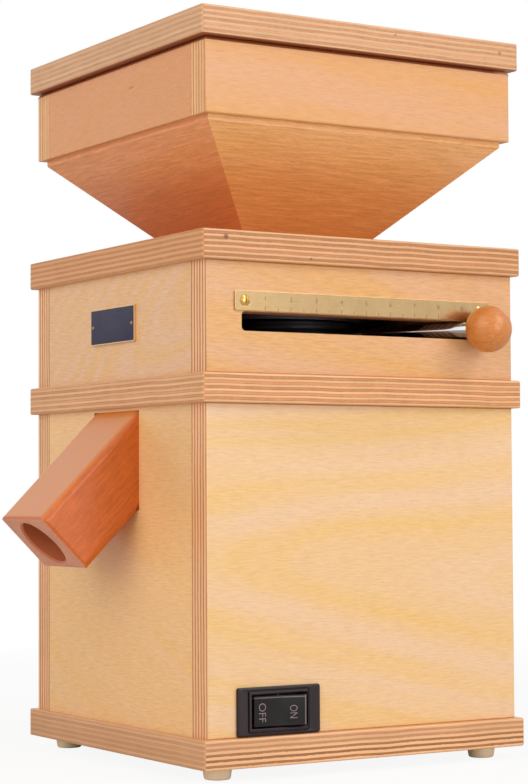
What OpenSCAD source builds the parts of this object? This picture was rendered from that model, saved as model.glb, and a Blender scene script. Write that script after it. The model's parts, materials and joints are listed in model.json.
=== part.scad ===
// Household grain mill in a multiplex case: funnel hopper, two corundum stones,
// a lever that sets the grinding gap, a slanted flour spout and a motor below.
// +Z is up, the shaft axis is x = y = 0, the table is z = 0, the spout looks along -Y.

/* [Case] */
// How far the lid and the plates stand out past the walls
overhang = 3.75; // [1:0.25:10]
// Thickness of the lid and of the three plates
plate_t = 15; // [12:0.5:18]
// Outer width and depth of the box walls between the plates
case_w = 192.5; // [184:0.5:196]
// Thickness of the box walls
wall_t = 15; // [12:0.5:16]
// Rounding of the upright corners of the plates
corner_r = 2; // [0.5:0.5:4]
// Height of the lower box, which holds the motor
lower_h = 167.5; // [164:0.5:190]
// Height of the upper box, which holds the stones
upper_h = 57; // [56:0.5:66]

/* [Feet] */
// Height of the feet
foot_h = 6.5; // [5:0.5:14]
// Diameter of a foot where it meets the base plate
foot_top_d = 15.5; // [14:0.5:22]
// Diameter of a foot at the table
foot_bottom_d = 13.5; // [12:0.5:20]
// Distance from a foot's middle to the sides of the base plate
foot_inset = 17; // [12:0.5:30]

/* [Hopper] */
// Height of the funnel
funnel_h = 59; // [50:1:64]
// Upright lip at the top of the funnel
funnel_lip = 3; // [1:0.5:6]
// Step from the hopper frame in to the funnel
funnel_inset = 4; // [2:0.5:6]
// Width of the funnel where it stands on the top plate
funnel_foot_w = 68; // [64:1:80]
// Thickness of the funnel boards, measured level
funnel_wall = 14; // [11:0.5:15]
// Height of the hopper frame
frame_h = 39; // [25:1:60]
// Rounding along the top edge of the hopper frame
frame_edge_r = 2.8; // [0.5:0.1:4]

/* [Lid] */
// Thickness of the board that centres the lid
locator_t = 6; // [4:0.5:10]
// Gap between the locating board and the hopper frame
locator_gap = 1.5; // [0.5:0.25:4]

/* [Spout] */
// Width of the spout
spout_w = 51; // [38:0.5:54]
// Height of the spout, square to its bore
spout_h = 37.5; // [36:0.5:44]
// Length of the spout's upper edge outside the case
spout_len = 80; // [60:0.5:100]
// Diameter of the spout's bore
spout_bore_d = 29; // [26:0.5:32]
// Sideways place of the spout
spout_x = 0; // [-6:0.5:6]
// Slope of the spout below level
spout_slope = 45; // [43:1:47]
// Rounding along the spout's edges
spout_edge_r = 4; // [1:0.5:5]
// Rounding round the spout's end
spout_end_r = 2; // [0.5:0.5:4]

/* [Lever and scale] */
// Height of the lever above the middle plate
lever_z = 26.5; // [25:0.5:29]
// Whole swing of the lever
lever_swing = 65; // [40:1:66]
// Diameter of the lever rod
rod_d = 8; // [6:0.5:8.5]
// Gap between the knob and the scale strip at the ends of the swing
knob_gap = 0.3; // [0.3:0.1:8]
// Diameter of the ball knob
knob_d = 25; // [20:0.5:26]
// Height of the lever slot
slot_h = 10; // [9:0.5:12]
// Gap between the rod and the slot's ends at the ends of the swing
slot_end_gap = 9.4; // [2:0.2:12]
// Rounding in the corners of the lever slot
slot_r = 2.2; // [1:0.2:4]
// How far the scale strip reaches past each end of the slot
strip_reach = 4.5; // [2:0.5:8]
// Height of the scale strip
strip_h = 10; // [9:0.5:12]
// Thickness of the scale strip
strip_t = 1; // [0.8:0.1:1.5]
// Gap between the slot and the scale strip above it
strip_gap = 0.3; // [0.3:0.1:3]

/* [Name plate] */
// Width of the name plate
name_w = 50; // [30:1:70]
// Height of the name plate
name_h = 19.5; // [12:0.5:26]
// Thickness of the name plate
name_t = 1.4; // [0.5:0.1:2]
// Sideways place of the name plate
name_x = -2; // [-20:0.5:20]

/* [Switch] */
// Width of the switch bezel
bezel_w = 49; // [48:0.5:54]
// Height of the switch bezel
bezel_h = 24.5; // [24:0.5:28]
// Thickness of the bezel's flange
bezel_t = 1.8; // [1:0.1:3]
// Gap between the switch body and the inside of the front wall
switch_inset = 3.6; // [2:0.2:20]
// Length of the rocker's recess
recess_w = 33; // [30:0.5:34]
// Height of the rocker's recess
recess_h = 17; // [14:0.5:18]
// Whole travel of the rocker
rocker_swing = 16; // [10:1:18]

/* [Stones] */
// Diameter of the stones
stone_d = 84; // [78:1:88]
// Thickness of each stone
stone_t = 11; // [10:0.5:12]
// Diameter of the upper stone's eye
eye_d = 36; // [35:0.5:38]
// Gap between the stones at the coarse end of the lever's swing
stone_gap = 1.2; // [1.15:0.05:2]
// Number of furrows in each stone
furrows = 10; // [6:1:14]
// Number of sweeper blades on the stone carrier
sweepers = 4; // [2:1:6]
// Rise of the adjusting thread in one turn
thread_pitch = 6; // [4:0.5:6]

/* [Motor] */
// Diameter of the motor
motor_d = 96; // [90:1:100]
// Length of the laminated stack
stack_h = 70; // [50:1:76]
// Height of each end bell
bell_h = 20; // [18:0.5:24]
// Height of the motor above the base plate
motor_z = 17; // [16:0.5:20]
// Diameter of the motor shaft
shaft_d = 12; // [10:0.5:12]
// Diameter of the cooling fan
fan_d = 70; // [60:1:72]
// Blades of the cooling fan
fan_blades = 9; // [5:1:12]

/* [Cord inlet] */
// Diameter of the gland's bore
cord_d = 7.2; // [6:0.2:9]
// Height of the gland above the base plate
gland_z = 24; // [20:1:50]
// Distance from the gland's middle to the inside of the side wall
gland_inset = 33.2; // [16:0.2:60]

/* [Hidden] */
$fn = 64;

// Clearances
run_gap = 0.08;      // radial, between a shaft or pin and its hole
air_gap = 0.6;       // radial, between rotor and stator
slip_gap = 0.3;      // between faces that pass each other
cut = 1;             // how far a cutter reaches past the face it cuts

// Levels, from the table up
z_base = foot_h;
z_lower = z_base + plate_t;
z_mid = z_lower + lower_h;
z_upper = z_mid + plate_t;
z_top = z_upper + upper_h;
z_funnel = z_top + plate_t;
z_frame = z_funnel + funnel_h;
z_rim = z_frame + frame_h;
z_lever = z_upper + lever_z;

// Case
plate_w = case_w + 2 * overhang;
foot_pitch = plate_w - 2 * foot_inset;
half = case_w / 2;
inner_half = half - wall_t;

// Funnel
funnel_top_half = half - funnel_inset;
funnel_foot_half = funnel_foot_w / 2;
funnel_slope_h = funnel_h - funnel_lip;
funnel_run = funnel_top_half - funnel_foot_half;
funnel_inner_top = funnel_top_half + funnel_run * funnel_lip / funnel_slope_h - funnel_wall;
funnel_inner_foot = funnel_foot_half - funnel_wall;

// Spout: its bore line starts on the front face, half a height below the upper edge
spout_drop = 1.5;
passage_step = 0.5;
spout_top_z = z_mid - spout_drop;
spout_axis_z = spout_top_z - spout_h / 2 / cos(spout_slope);

// Screws
screw_d = 3.5;
screw_head_d = 7;
screw_len = 25;
screw_tip_d = 0.4;
inner_screw_len = 16;
driver_slot_w = 0.8;
driver_slot_h = 1;
side_screw_y = 22;
cross_screw_x = 56;
vent_d = 7;
vent_rings = [[6, 14], [12, 27]];
foot_screw_seat = 2;
foot_screw_bite = 9;
foot_screw_head_d = 6;
foot_screw_len = foot_h - foot_screw_seat + foot_screw_bite;

// Lever
lever_rest = lever_swing / 2;
knob_reach = (half + strip_t + knob_gap + knob_d / 2) / cos(lever_rest);
rod_sweep = half * tan(lever_rest) + rod_d / 2 / cos(lever_rest);
slot_len = 2 * (rod_sweep + slot_end_gap);
strip_len = slot_len + 2 * strip_reach;
ring_drop = 6;
ring_h = 12;
z_ring = z_lever - ring_drop;
ring_bore_r = stone_d / 2 + 4.2;
ring_hub_t = 8.8;
ring_hub_r = ring_bore_r + ring_hub_t;
ring_flange_t = 1.5;
ring_rib_h = 1;
ring_rib_t = 4;
rod_seat = 6;
knob_flat = 1.6;
knob_seat = 12;

// Stone chamber
chamber_floor_t = 3;
chamber_wall_t = 5;
chamber_r = inner_half - 6;
chamber_inner_r = chamber_r - chamber_wall_t;
holder_t = 6;
feed_r = eye_d / 2 - 1;
feed_wall = 2;
feed_tube_r = feed_r + feed_wall;
neck_r = feed_tube_r + 3;
neck_wall = 3;
flange_t = 6;
skirt_wall = 6;
flange_screw_r = ring_hub_r - skirt_wall - screw_head_d / 2 - 1.5;
chamber_screw_inset = 8;
carrier_t = 3;
carrier_r = stone_d / 2 + 4;
z_stone_face = z_ring;
z_lower_face = z_stone_face - stone_gap;
z_carrier = z_lower_face - stone_t - carrier_t;
furrow_w = 3;
furrow_deep = 0.8;
furrow_tilt = 0.8;
pin_d = 5;
pin_ring_r = (neck_r + neck_wall + stone_d / 2) / 2;
stone_travel = thread_pitch * lever_swing / 360;

// Motor
z_bell_low = z_lower + motor_z;
z_stack = z_bell_low + bell_h;
z_bell_up = z_stack + stack_h;
z_motor_top = z_bell_up + bell_h;
motor_r = motor_d / 2;
stack_bore_r = 26;
stack_slots = 12;
stack_slot_w = 7;
bolt_wall = 2.5;
bolt_d = 5;
bolt_inset = 6;
bolt_ring_r = motor_r - bolt_inset;
pillar_d = 10;
bearing_w = 8;
bearing_t = 8;
bearing_r = shaft_d / 2 + bearing_t;
race_t = 1.6;
ball_gap = 0.1;
ball_d = bearing_r - shaft_d / 2 - 2 * race_t - 2 * ball_gap;
ball_ring_r = (bearing_r + shaft_d / 2) / 2;
balls = 8;
hub_wall = 4;
boss_r = bearing_r + 5;
web_t = 4;
bearing_levels = [z_bell_low, z_motor_top - bearing_w, z_mid + 3];
z_shaft_low = z_lower + 2;
fan_t = 9;
z_fan = z_bell_low - fan_t - 2;
nut_h = 13;
nut_w = 20;
nut_hex_h = 6;
nut_tip_d = 6;
nut_depth = 8;
z_nut = z_lower_face;

// Switch
switch_z = z_lower + bezel_h / 2 + slip_gap;
switch_body_w = bezel_w - 4;
switch_body_h = bezel_h - 3;
switch_y = inner_half - switch_inset - switch_body_w / 2;
switch_depth = 30;
frame_w = recess_w + 3.4;
frame_rim_h = recess_h + 3.4;
frame_rise = 0.5;
recess_depth = 9;
recess_shift = 0.5;
pivot_r = 1.5;
pivot_len = recess_h + 3;
rocker_gap = 0.3;
rocker_r = recess_w / 2 - rocker_gap;

// Push-on tabs of the switch and the capacitor
tab_t = 0.8;
tab_w = 6.3;
tab_root = 4;
tab_out = 8;
switch_tab_x = 24;
switch_tab_y = 11;
capacitor_tab_x = 12;

// ---- shared shapes ----

module rounded_rect(w, h, r) {
  square([w - 2 * r, h], center = true);
  square([w, h - 2 * r], center = true);
  for (x = [-1, 1], y = [-1, 1]) {
    translate([x * (w / 2 - r), y * (h / 2 - r)]) circle(r);
  }
}

module plate(z) {
  translate([0, 0, z]) linear_extrude(plate_t) rounded_rect(plate_w, plate_w, corner_r);
}

// A board across the case at the -Y or +Y side, between the side boards
module cross_board(z, h, side) {
  translate([-inner_half, side > 0 ? inner_half : -half, z])
    cube([2 * inner_half, wall_t, h]);
}

// A board along the case at the -X or +X side, over its whole depth
module side_board(z, h, side) {
  translate([side > 0 ? inner_half : -half, -half, z])
    cube([wall_t, case_w, h]);
}

// What a round edge of radius r takes off a corner that points along +x and +z, along y
module edge_cut(len, r) {
  translate([-r, len / 2, -r]) rotate([90, 0, 0]) difference() {
    cube([r + cut, r + cut, len]);
    translate([0, 0, -cut]) cylinder(r = r, h = len + 2 * cut);
  }
}

module at_corners(pitch) {
  for (x = [-1, 1], y = [-1, 1]) {
    translate([x * pitch / 2, y * pitch / 2, 0]) children();
  }
}

module at_angles(n, r, start = 0) {
  for (i = [0 : n - 1]) {
    rotate([0, 0, start + i * 360 / n]) translate([r, 0, 0]) children();
  }
}

module tube(r_out, r_in, h) {
  difference() {
    cylinder(r = r_out, h = h);
    translate([0, 0, -cut]) cylinder(r = r_in, h = h + 2 * cut);
  }
}

// A countersunk wood screw, its head flush at z = 0 and its point upwards
module wood_screw(len = screw_len, d = screw_d, head_d = screw_head_d) {
  head_h = (head_d - d) / 2;
  difference() {
    union() {
      cylinder(d1 = head_d, d2 = d, h = head_h);
      cylinder(d = d, h = len - d);
      translate([0, 0, len - d]) cylinder(d1 = d, d2 = screw_tip_d, h = d);
    }
    for (a = [0, 90]) {
      rotate([0, 0, a]) translate([-head_d / 4, -driver_slot_w / 2, -cut])
        cube([head_d / 2, driver_slot_w, cut + driver_slot_h]);
    }
  }
}

module wood_screw_hole(len = screw_len, d = screw_d, head_d = screw_head_d) {
  head_h = (head_d - d) / 2;
  cylinder(d1 = head_d, d2 = d, h = head_h);
  translate([0, 0, -cut]) cylinder(d = head_d, h = cut);
  cylinder(d = d, h = len - d);
  translate([0, 0, len - d]) cylinder(d1 = d, d2 = screw_tip_d, h = d);
}

// ---- lid ----

module lid() {
  color("burlywood") plate(z_rim);
}

locator_w = 2 * (inner_half - locator_gap);

module lid_locator() {
  color("wheat") translate([0, 0, z_rim - locator_t])
    linear_extrude(locator_t) rounded_rect(locator_w, locator_w, 3);
}

// ---- hopper ----

module frame_edges() {
  for (a = [0 : 90 : 270]) {
    rotate([0, 0, a]) translate([half, 0, z_rim]) edge_cut(case_w + 2 * cut, frame_edge_r);
  }
}

module hopper_cross(side) {
  difference() {
    cross_board(z_frame, frame_h, side);
    frame_edges();
  }
}

module hopper_side(side) {
  difference() {
    side_board(z_frame, frame_h, side);
    frame_edges();
  }
}

module hopper_front() { color("burlywood") hopper_cross(-1); }
module hopper_back() { color("burlywood") hopper_cross(1); }
module hopper_left() { color("burlywood") hopper_side(-1); }
module hopper_right() { color("burlywood") hopper_side(1); }

// One funnel board with mitred ends: its section along +X, cut by the two diagonal planes
module funnel_board(angle) {
  reach = funnel_top_half + cut;
  rotate([0, 0, angle]) intersection() {
    translate([0, reach, z_funnel]) rotate([90, 0, 0]) linear_extrude(2 * reach) polygon([
      [funnel_foot_half, 0],
      [funnel_top_half, funnel_slope_h],
      [funnel_top_half, funnel_h],
      [funnel_inner_top, funnel_h],
      [funnel_inner_foot, 0]
    ]);
    translate([0, 0, z_funnel - cut]) linear_extrude(funnel_h + 2 * cut)
      polygon([[0, 0], [reach, -reach], [reach, reach]]);
  }
}

module funnel_front() { color("peru") funnel_board(-90); }
module funnel_back() { color("peru") funnel_board(90); }
module funnel_left() { color("peru") funnel_board(180); }
module funnel_right() { color("peru") funnel_board(0); }

// ---- case ----

module top_plate() {
  color("burlywood") difference() {
    plate(z_top);
    translate([0, 0, z_top - cut]) cylinder(r = feed_tube_r, h = plate_t + 2 * cut);
    flange_screw_places() wood_screw_hole(inner_screw_len);
  }
}

module upper_front() {
  color("navajowhite") difference() {
    cross_board(z_upper, upper_h, -1);
    name_pin_places() cylinder(d = name_pin_d, h = name_pin_len);
  }
}

module upper_back() { color("navajowhite") cross_board(z_upper, upper_h, 1); }
module upper_left() { color("navajowhite") side_board(z_upper, upper_h, -1); }

module upper_right() {
  color("navajowhite") difference() {
    side_board(z_upper, upper_h, 1);
    translate([inner_half - cut, 0, z_lever]) rotate([90, 0, 90])
      linear_extrude(wall_t + 2 * cut) rounded_rect(slot_len, slot_h, slot_r);
    scale_screw_places() brass_screw_hole();
  }
}

module mid_plate() {
  color("burlywood") difference() {
    plate(z_mid);
    translate([0, 0, z_mid - cut]) cylinder(r = boss_r, h = plate_t + 2 * cut);
    spout_line() bore_cutter(spout_bore_d / 2 + passage_step);
    at_angles(4, bolt_ring_r, 45) translate([0, 0, z_mid - cut]) cylinder(d = bolt_d, h = plate_t + 2 * cut);
    at_angles(4, bolt_ring_r, 45) translate([0, 0, z_upper - bolt_head_h - bolt_sink])
      cylinder(d = bolt_head_d, h = bolt_head_h + bolt_sink + cut);
    chamber_screw_places() wood_screw_hole(inner_screw_len);
  }
}

module lower_front() {
  color("wheat") difference() {
    cross_board(z_lower, lower_h, -1);
    spout_frame() spout_blank(spout_h + wall_t * 2);
    base_screw_places() wood_screw_hole();
  }
}

module lower_back() {
  color("wheat") difference() {
    cross_board(z_lower, lower_h, 1);
    gland_frame() translate([0, 0, -wall_t - cut]) cylinder(d = gland_body_d, h = wall_t + 2 * cut);
    base_screw_places() wood_screw_hole();
  }
}

module lower_left() {
  color("wheat") difference() {
    side_board(z_lower, lower_h, -1);
    base_screw_places() wood_screw_hole();
  }
}

module lower_right() {
  color("wheat") difference() {
    side_board(z_lower, lower_h, 1);
    translate([half - wall_t / 2, -switch_y, switch_z])
      cube([wall_t + 2 * cut, switch_body_w, switch_body_h], center = true);
    base_screw_places() wood_screw_hole();
  }
}

module base_plate() {
  color("burlywood") difference() {
    plate(z_base);
    base_screw_places() wood_screw_hole();
    foot_places() cylinder(d = screw_d, h = foot_screw_len);
    translate([0, 0, z_base - cut]) {
      cylinder(d = vent_d, h = plate_t + 2 * cut);
      for (ring = vent_rings) {
        at_angles(ring[0], ring[1]) cylinder(d = vent_d, h = plate_t + 2 * cut);
      }
    }
    capacitor_place() translate([0, 0, -capacitor_stud_h])
      cylinder(d = capacitor_stud_d, h = capacitor_stud_h + cut);
  }
}

// Screws up through the base plate into the box walls, two for each wall; those beside
// the switch stand closer together
module base_screw_places() {
  for (a = [0 : 90 : 270], s = [-1, 1]) {
    spread = a % 180 == 0 ? side_screw_y : cross_screw_x;
    rotate([0, 0, a]) translate([half - wall_t / 2, s * spread, z_base]) children();
  }
}

module base_screws() { color("silver") base_screw_places() wood_screw(); }

// From the head's seat inside a foot, upwards
module foot_places() {
  at_corners(foot_pitch) translate([0, 0, foot_screw_seat]) children();
}

module feet() {
  color("antiquewhite") difference() {
    at_corners(foot_pitch) cylinder(d1 = foot_bottom_d, d2 = foot_top_d, h = foot_h);
    foot_places() wood_screw_hole(foot_screw_len, screw_d, foot_screw_head_d);
    at_corners(foot_pitch) translate([0, 0, -cut]) cylinder(d = foot_screw_head_d, h = foot_screw_seat + cut);
  }
}

module foot_screws() { color("silver") foot_places() wood_screw(foot_screw_len, screw_d, foot_screw_head_d); }

// ---- spout ----

// Local +y runs up the slope into the case, local +z is square to the spout's upper face
module spout_frame() {
  translate([spout_x, -half, spout_top_z]) rotate([spout_slope, 0, 0]) children();
}

module spout_line() {
  translate([spout_x, -half, spout_axis_z]) rotate([spout_slope, 0, 0]) children();
}

module spout_blank(inner_len) {
  translate([-spout_w / 2, -spout_len, -spout_h]) cube([spout_w, spout_len + inner_len, spout_h]);
}

module bore_cutter(r) {
  reach = spout_len + spout_h;
  translate([0, 2 * spout_h + wall_t, 0]) rotate([90, 0, 0]) cylinder(r = r, h = reach + 2 * spout_h);
}

module spout() {
  inner_len = spout_h + wall_t * 2;
  long = spout_len + inner_len + 2 * cut;
  mid_y = (inner_len - spout_len) / 2;
  mouth_y = spout_h / 2 * tan(spout_slope) - spout_len;
  mouth_r = 1;
  color("sienna") difference() {
    spout_frame() spout_blank(inner_len);
    spout_line() bore_cutter(spout_bore_d / 2);
    spout_line() translate([0, mouth_y - mouth_r, 0]) rotate([-90, 0, 0])
      cylinder(d1 = spout_bore_d + 4 * mouth_r, d2 = spout_bore_d, h = 2 * mouth_r);
    spout_frame() for (a = [0, 180]) {
      translate([0, mid_y, -spout_h / 2]) rotate([0, a, 0]) {
        translate([spout_w / 2, 0, spout_h / 2]) edge_cut(long, spout_edge_r);
        translate([-spout_w / 2, 0, spout_h / 2]) rotate([0, -90, 0]) edge_cut(long, spout_edge_r);
      }
      translate([0, -spout_len, -spout_h / 2]) rotate([0, a, 0]) {
        translate([0, 0, spout_h / 2]) rotate([0, 0, -90]) edge_cut(spout_w + 2 * cut, spout_end_r);
        translate([spout_w / 2, 0, 0]) rotate([0, 90, 0]) rotate([0, 0, -90])
          edge_cut(spout_h + 2 * cut, spout_end_r);
      }
    }
    translate([-case_w / 2, -case_w, z_mid]) cube([case_w, 2 * case_w, 2 * spout_h]);
  }
}

// ---- name plate ----

name_z = z_upper + upper_h / 2 + 1.4;
name_pin_d = 1.6;
name_pin_len = 5;
name_pin_rise = 0.4;
name_pin_inset = 3;
name_pin_head_d = 2.2;
small_corner_r = 0.8;

module name_plate() {
  color("darkslategray") difference() {
    translate([name_x, -half, name_z]) rotate([90, 0, 0])
      linear_extrude(name_t) rounded_rect(name_w, name_h, small_corner_r);
    name_pin_places() translate([0, 0, -name_t - cut]) cylinder(d = name_pin_d, h = name_t + 2 * cut);
  }
}

// On the front face, +z into the wood
module name_pin_places() {
  for (s = [-1, 1]) {
    translate([name_x + s * (name_w / 2 - name_pin_inset), -half, name_z]) rotate([-90, 0, 0]) children();
  }
}

module name_plate_pins() {
  color("gold") name_pin_places() union() {
    cylinder(d = name_pin_d, h = name_pin_len);
    translate([0, 0, -name_t]) cylinder(d = name_pin_d, h = name_t);
    translate([0, 0, -name_t - name_pin_rise])
      cylinder(d1 = name_pin_d, d2 = name_pin_head_d, h = name_pin_rise);
  }
}

// ---- scale ----

strip_z = z_lever + slot_h / 2 + strip_gap + strip_h / 2;
brass_screw_d = 3;
brass_head_d = 6;
brass_screw_len = 13;
brass_screw_inset = 6;
brass_head_h = (brass_head_d - brass_screw_d) / 2;

module scale_strip() {
  color("khaki") difference() {
    translate([half, 0, strip_z]) rotate([90, 0, 90])
      linear_extrude(strip_t) rounded_rect(strip_len, strip_h, small_corner_r);
    scale_screw_places() brass_screw_hole();
  }
}

// At the strip's outer face, +z into the wood
module scale_screw_places() {
  for (s = [-1, 1]) {
    translate([half + strip_t, s * (strip_len / 2 - brass_screw_inset), strip_z])
      rotate([0, -90, 0]) children();
  }
}

module brass_screw_hole() {
  translate([0, 0, -cut]) cylinder(d = brass_head_d, h = cut);
  cylinder(d1 = brass_head_d, d2 = brass_screw_d, h = brass_head_h);
  cylinder(d = brass_screw_d, h = brass_screw_len);
}

// The raised head is a cap of a ball that meets the countersink's rim
module scale_screws() {
  rise = 0.9;
  cap_r = (pow(brass_head_d / 2, 2) + rise * rise) / (2 * rise);
  color("goldenrod") scale_screw_places() difference() {
    union() {
      cylinder(d1 = brass_head_d, d2 = brass_screw_d, h = brass_head_h);
      cylinder(d = brass_screw_d, h = brass_screw_len);
      intersection() {
        translate([0, 0, cap_r - rise]) sphere(cap_r);
        translate([0, 0, -rise]) cylinder(d = brass_head_d, h = rise);
      }
    }
    translate([-brass_head_d, -driver_slot_w / 2, -rise - cut])
      cube([2 * brass_head_d, driver_slot_w, cut + rise]);
  }
}

// ---- switch ----

// Local x runs along the case wall, local y up, local z out of the wall
module switch_frame() {
  translate([half, -switch_y, switch_z]) rotate([90, 0, 90]) children();
}

module switch_housing() {
  color("dimgray") switch_frame() difference() {
    union() {
      linear_extrude(bezel_t) rounded_rect(bezel_w, bezel_h, 1.2);
      translate([recess_shift, 0, 0])
        linear_extrude(bezel_t + frame_rise) rounded_rect(frame_w, frame_rim_h, small_corner_r);
      translate([0, 0, -switch_depth / 2]) cube([switch_body_w, switch_body_h, switch_depth], center = true);
    }
    translate([recess_shift, 0, bezel_t + frame_rise - recess_depth])
      linear_extrude(recess_depth + cut) rounded_rect(recess_w, recess_h, 0.6);
    translate([recess_shift, pivot_len / 2 + slip_gap, 0]) rotate([90, 0, 0])
      cylinder(r = pivot_r + run_gap, h = pivot_len + 2 * slip_gap);
    switch_terminal_places() switch_tab();
  }
}

// The rocker turns about the upright line through its middle; OFF, the -Y side, is pressed in
module switch_rocker() {
  wide = recess_h - 2 * rocker_gap;
  peak = 3.6;
  dip = 1.4;
  deep = 4.2;
  color("black") switch_frame() translate([recess_shift, 0, 0]) rotate([0, -rocker_swing / 2, 0]) union() {
    translate([0, wide / 2, 0]) rotate([90, 0, 0]) linear_extrude(wide) intersection() {
      circle(rocker_r);
      polygon([
        [-rocker_r, -deep / 3], [-rocker_r, peak], [0, peak - dip], [rocker_r, peak],
        [rocker_r, -deep / 3], [rocker_r / 3, -deep], [-rocker_r / 3, -deep]
      ]);
    }
    translate([0, pivot_len / 2, 0]) rotate([90, 0, 0]) cylinder(r = pivot_r, h = pivot_len);
  }
}

module switch_terminal_places() {
  for (x = [-1, 1], y = [-1, 1]) {
    translate([x * switch_tab_x / 2, y * switch_tab_y / 2, -switch_depth - tab_out]) children();
  }
}

module switch_tab() {
  translate([-tab_t / 2, -tab_w / 2, 0]) cube([tab_t, tab_w, tab_root + tab_out]);
}

module switch_terminals() { color("silver") switch_frame() switch_terminal_places() switch_tab(); }

// ---- cord inlet ----

gland_body_d = 16;
gland_flange_d = 24;
gland_flange_t = 4;
gland_thread_len = 24;
gland_nut_t = 5;

// On the back face, +z out of the case
module gland_frame() {
  translate([inner_half - gland_inset, half, z_lower + gland_z]) rotate([-90, 0, 0]) children();
}

module cord_gland() {
  nose_h = 7;
  color("dimgray") gland_frame() difference() {
    union() {
      cylinder(d = gland_flange_d, h = gland_flange_t);
      translate([0, 0, gland_flange_t]) cylinder(d1 = gland_body_d, d2 = gland_body_d - 4, h = nose_h);
      translate([0, 0, -gland_thread_len]) cylinder(d = gland_body_d, h = gland_thread_len);
    }
    translate([0, 0, -gland_thread_len - cut])
      cylinder(d = cord_d, h = gland_thread_len + gland_flange_t + nose_h + 2 * cut);
  }
}

module gland_nut() {
  color("dimgray") gland_frame() translate([0, 0, -wall_t - gland_nut_t]) difference() {
    cylinder(d = gland_flange_d, h = gland_nut_t, $fn = 6);
    translate([0, 0, -cut]) cylinder(d = gland_body_d, h = gland_nut_t + 2 * cut);
  }
}

// ---- stone chamber ----

// The ring that the adjusting ring turns on
module chamber_wall() {
  color("slategray") difference() {
    translate([0, 0, z_upper + chamber_floor_t])
      tube(chamber_r, chamber_inner_r, z_ring - z_upper - chamber_floor_t);
    spout_line() bore_cutter(spout_bore_d / 2 + 2 * passage_step);
  }
}

// A round plate on the middle plate; its boss holds the upper bearing, and it opens to the spout
module chamber_floor() {
  color("slategray") difference() {
    union() {
      translate([0, 0, z_upper]) cylinder(r = chamber_r, h = chamber_floor_t);
      translate([0, 0, z_mid]) cylinder(r = boss_r, h = plate_t);
    }
    translate([0, 0, z_mid - cut]) cylinder(r = bearing_r, h = bearing_levels[2] + bearing_w - z_mid + cut);
    translate([0, 0, z_mid - cut]) cylinder(r = shaft_d / 2 + 1.5, h = plate_t + chamber_floor_t + 2 * cut);
    spout_line() bore_cutter(spout_bore_d / 2 + 2 * passage_step);
    chamber_screw_places() wood_screw_hole(inner_screw_len);
  }
}

// Heads flush with the chamber's floor, points down into the middle plate
module chamber_screw_places() {
  at_angles(3, chamber_inner_r - chamber_screw_inset, 90)
    translate([0, 0, z_upper + chamber_floor_t]) rotate([180, 0, 0]) children();
}

// A turned flange under the top plate: feed tube, guide pins and a skirt that keeps the ring down
module feed_flange() {
  color("silver") difference() {
    union() {
      translate([0, 0, z_top - flange_t]) cylinder(r = ring_hub_r, h = flange_t);
      translate([0, 0, z_ring + ring_h + slip_gap])
        tube(ring_hub_r, ring_hub_r - skirt_wall, z_top - z_ring - ring_h - slip_gap);
      translate([0, 0, z_stone_face + stone_t + slip_gap + stone_travel])
        cylinder(r = feed_tube_r, h = z_funnel - z_stone_face - stone_t - slip_gap - stone_travel);
    }
    translate([0, 0, z_ring]) cylinder(r = feed_r, h = z_funnel - z_ring + cut);
    flange_screw_places() wood_screw_hole(inner_screw_len);
    at_angles(3, pin_ring_r) translate([0, 0, z_top - flange_t - cut])
      cylinder(d = pin_d, h = flange_t + 2 * cut);
  }
}

// Heads flush under the flange, points up into the top plate
module flange_screw_places() {
  at_angles(3, flange_screw_r, 60) translate([0, 0, z_top - flange_t]) children();
}

module inner_screws() {
  color("silver") {
    chamber_screw_places() wood_screw(inner_screw_len);
    flange_screw_places() wood_screw(inner_screw_len);
  }
}

pin_low = z_stone_face + stone_t + 2 * slip_gap;

module guide_pins() {
  color("silver") at_angles(3, pin_ring_r) translate([0, 0, pin_low])
    cylinder(d = pin_d, h = z_top - pin_low);
}

// Turned by the lever; its bore carries the stone holder's thread
module adjusting_ring() {
  flange_r = chamber_r - 1;
  color("dimgray") difference() {
    union() {
      translate([0, 0, z_ring]) cylinder(r = ring_hub_r, h = ring_h);
      translate([0, 0, z_ring]) cylinder(r = flange_r, h = ring_flange_t);
      translate([0, 0, z_ring - ring_rib_h])
        tube(chamber_inner_r - run_gap, chamber_inner_r - ring_rib_t, ring_rib_h + ring_flange_t / 2);
    }
    translate([0, 0, z_ring - cut]) cylinder(r = ring_bore_r, h = ring_h + 2 * cut);
    rod_frame() translate([0, 0, ring_hub_r - rod_seat]) cylinder(d = rod_d, h = rod_seat + cut);
  }
}

// Local +z runs out along the lever at rest
module rod_frame() {
  translate([0, 0, z_lever]) rotate([0, 0, lever_rest]) rotate([0, 90, 0]) children();
}

knob_back = knob_d / 2 - knob_flat;

module lever_rod() {
  tip = knob_reach - knob_back + knob_seat;
  bevel = 0.6;
  color("silver") rod_frame() translate([0, 0, ring_hub_r - rod_seat]) union() {
    cylinder(d = rod_d, h = tip - ring_hub_r + rod_seat - bevel);
    translate([0, 0, tip - ring_hub_r + rod_seat - bevel])
      cylinder(d1 = rod_d, d2 = rod_d - 2 * bevel, h = bevel);
  }
}

module lever_knob() {
  color("chocolate") rod_frame() translate([0, 0, knob_reach]) difference() {
    sphere(d = knob_d);
    translate([0, 0, -knob_d / 2 - cut]) cylinder(d = knob_d, h = knob_flat + cut);
    translate([0, 0, -knob_back - cut]) cylinder(d = rod_d, h = knob_seat + cut);
  }
}

// Furrows that run past the eye to the rim and get deeper towards it
module furrow_set(up) {
  long = stone_d;
  start = eye_d / 3;
  at_angles(furrows, start) translate([0, eye_d / 4, 0]) rotate([0, up * furrow_tilt, 0])
    translate([0, -furrow_w / 2, up > 0 ? -furrow_deep : -long]) cube([long, furrow_w, long + furrow_deep]);
}

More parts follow.
